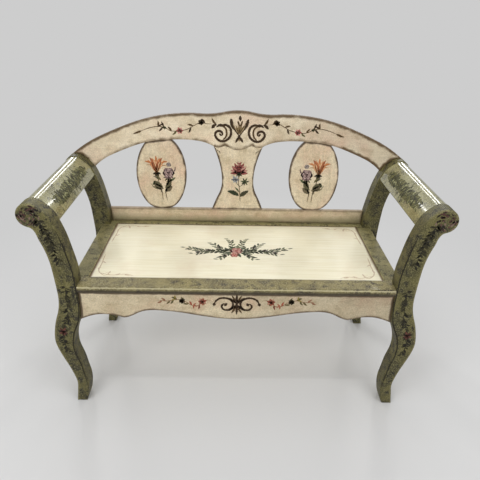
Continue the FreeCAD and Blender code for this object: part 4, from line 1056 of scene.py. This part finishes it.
foliage = []
random.seed(5)
inner_line = [point + (3.4, 0) for point in post_edge(70, 640)]
stroke(foliage, inner_line[::6] + inner_line[-1:], 4.5, "#211c0e", 0, None)
ROLL_LEAVES = 46
for i in range(ROLL_LEAVES):
    angle, reach = random.uniform(0, 2 * math.pi), 30 * math.sqrt(random.random())
    base = (598 + reach * math.cos(angle), 683 + reach * math.sin(angle))
    length, width = random.uniform(8, 14), random.uniform(4, 7)
    tint = random.choice(("#241610", "#33201a", "#4a2f28", "#1c130c", "#5d433a", "#7a6458"))
    leaf(foliage, base, math.degrees(angle) + 60, length, width, tint, 1 + i % 3, 40)
upper_vine = [(576, 676), (562, 648), (550, 615), (541, 575), (529, 535)]
lower_vine = [(522, 452), (524, 403), (526, 360), (538, 315), (549, 280), (550, 245), (541, 206)]
LEAVES_PER_VINE = 60
for path in (upper_vine, lower_vine):
    stroke(foliage, path, 3, "#232010", 1, None)
    points = foliage[-1][0]
    for i in range(LEAVES_PER_VINE):
        k = int((len(points) - 2) * i / (LEAVES_PER_VINE - 1))
        run = points[k + 1] - points[k]
        heading = math.degrees(math.atan2(run[1], run[0])) + random.choice((-1, 1)) * random.uniform(25, 80)
        tint = random.choice(("#1a170c", "#221f10", "#2a2612", "#332f18", "#2d2a14", "#6d6844"))
        leaf(foliage, points[k], heading, random.uniform(12, 22), random.uniform(4.5, 8), tint,
             2 + i % 2, random.uniform(-50, 50))
fan(foliage, (549, 284), 90, 160, 8, 19, 8, ("#4a2822", "#63392e", "#2a1810"), 4, 15)
for side, side_name in SIDES:
    drawing = foliage if side == RIGHT else flipped(foliage)
    brushwork(f"{side_name}_post_brushwork", drawing, lambda u, v, h: (u, -POST_OUTWARD - h, v))

# Brushwork on the arms. A dense band of dark leaves with a few pale ones, brushed along the
# middle of each sloping face.

band = []
random.seed(23)
for low in (27, 40, 52):
    wash = [(-160, low), (-90, low - 3), (-30, low + 3), (30, low - 3), (90, low + 3), (160, low)]
    stroke(band, wash, 15, "#66643c", 0, None)
BAND_LEAVES = 300
for i in range(BAND_LEAVES):
    along = random.uniform(-165, 165) * (1, 0.7)[i % 2]
    across = min(max(random.gauss(38, 13 - abs(along) / 25), 12), 72)
    tint = random.choice(("#2a2913", "#35341b", "#403f24", "#2a2913", "#35341b", "#55553a", "#96966c"))
    heading = random.choice((40, 75, 110, 140, -60, -110)) + random.uniform(-15, 15)
    leaf(band, (along, across), heading, random.uniform(10, 20), random.uniform(4, 6.5), tint, i % 4,
         random.uniform(-60, 60))
slope = np.array(sweep(ARM_TOP) + arm_roll[::-1])
slope_run = np.gradient(slope, axis=0)
slope_run /= np.linalg.norm(slope_run, axis=1)[:, None]
slope_reach = np.concatenate([[0], np.cumsum(np.linalg.norm(np.diff(slope, axis=0), axis=1))])


def on_arm(side):
    """Lays a drawing along an arm and over its slope, from the inner edge outwards."""
    def lay(u, v, h):
        x, z, run_x, run_z = [np.interp(v, slope_reach, column) for column in (*slope.T, *slope_run.T)]
        return side * (x - run_z * h), -side * u, z + run_x * h
    return lay


for side, side_name in SIDES:
    brushwork(f"{side_name}_arm_brushwork", band, on_arm(side))

# Hidden framing. The rear apron, the bearers under the seat, the glue blocks and the dowels
# are plain hardwood, planed and left unfinished. The screws are plain steel.

# Planed beech: dull and light brown, with darker grain lines about 6 mm apart.
bare_wood, tree, place = new_material("planed_unfinished_beech")
lengthwise = add_node(tree, "ShaderNodeMapping", {"Vector": place, "Scale": (6, 70, 70)})
grain = add_node(tree, "ShaderNodeTexNoise", {
    "Vector": lengthwise, "Scale": 2.5, "Detail": 6, "Distortion": 0.6})
colour = add_node(tree, "ShaderNodeValToRGB", {
    "Fac": grain}, stops=[(0.3, "#8d6a45"), (0.55, "#a98359"), (0.8, "#b8936a")])
finish_surface(tree, colour, 0.62, 1.5, grain, 0.15)
for name in ("rear_apron", "left_seat_batten", "right_seat_batten", "left_front_corner_block",
             "right_front_corner_block", "left_rear_corner_block", "right_rear_corner_block",
             "arm_dowels", "crest_dowels"):
    set_material(nodes[name], bare_wood)

# Plain steel wire: bright grey, its shine broken by drawing marks of under 2 mm.
steel, tree, place = new_material("plain_steel_wood_screws")
drawn = add_node(tree, "ShaderNodeTexNoise", {"Vector": place, "Scale": 600, "Detail": 2})
rough = add_node(tree, "ShaderNodeMapRange", {"Value": drawn, "To Min": 0.28, "To Max": 0.45})
shader = add_node(tree, "ShaderNodeBsdfPrincipled", {
    "Base Color": "#b9b6ae", "Metallic": 1.0, "Roughness": rough})
add_node(tree, "ShaderNodeOutputMaterial", {"Surface": shader})
set_material(nodes["corner_block_screws"], steel)
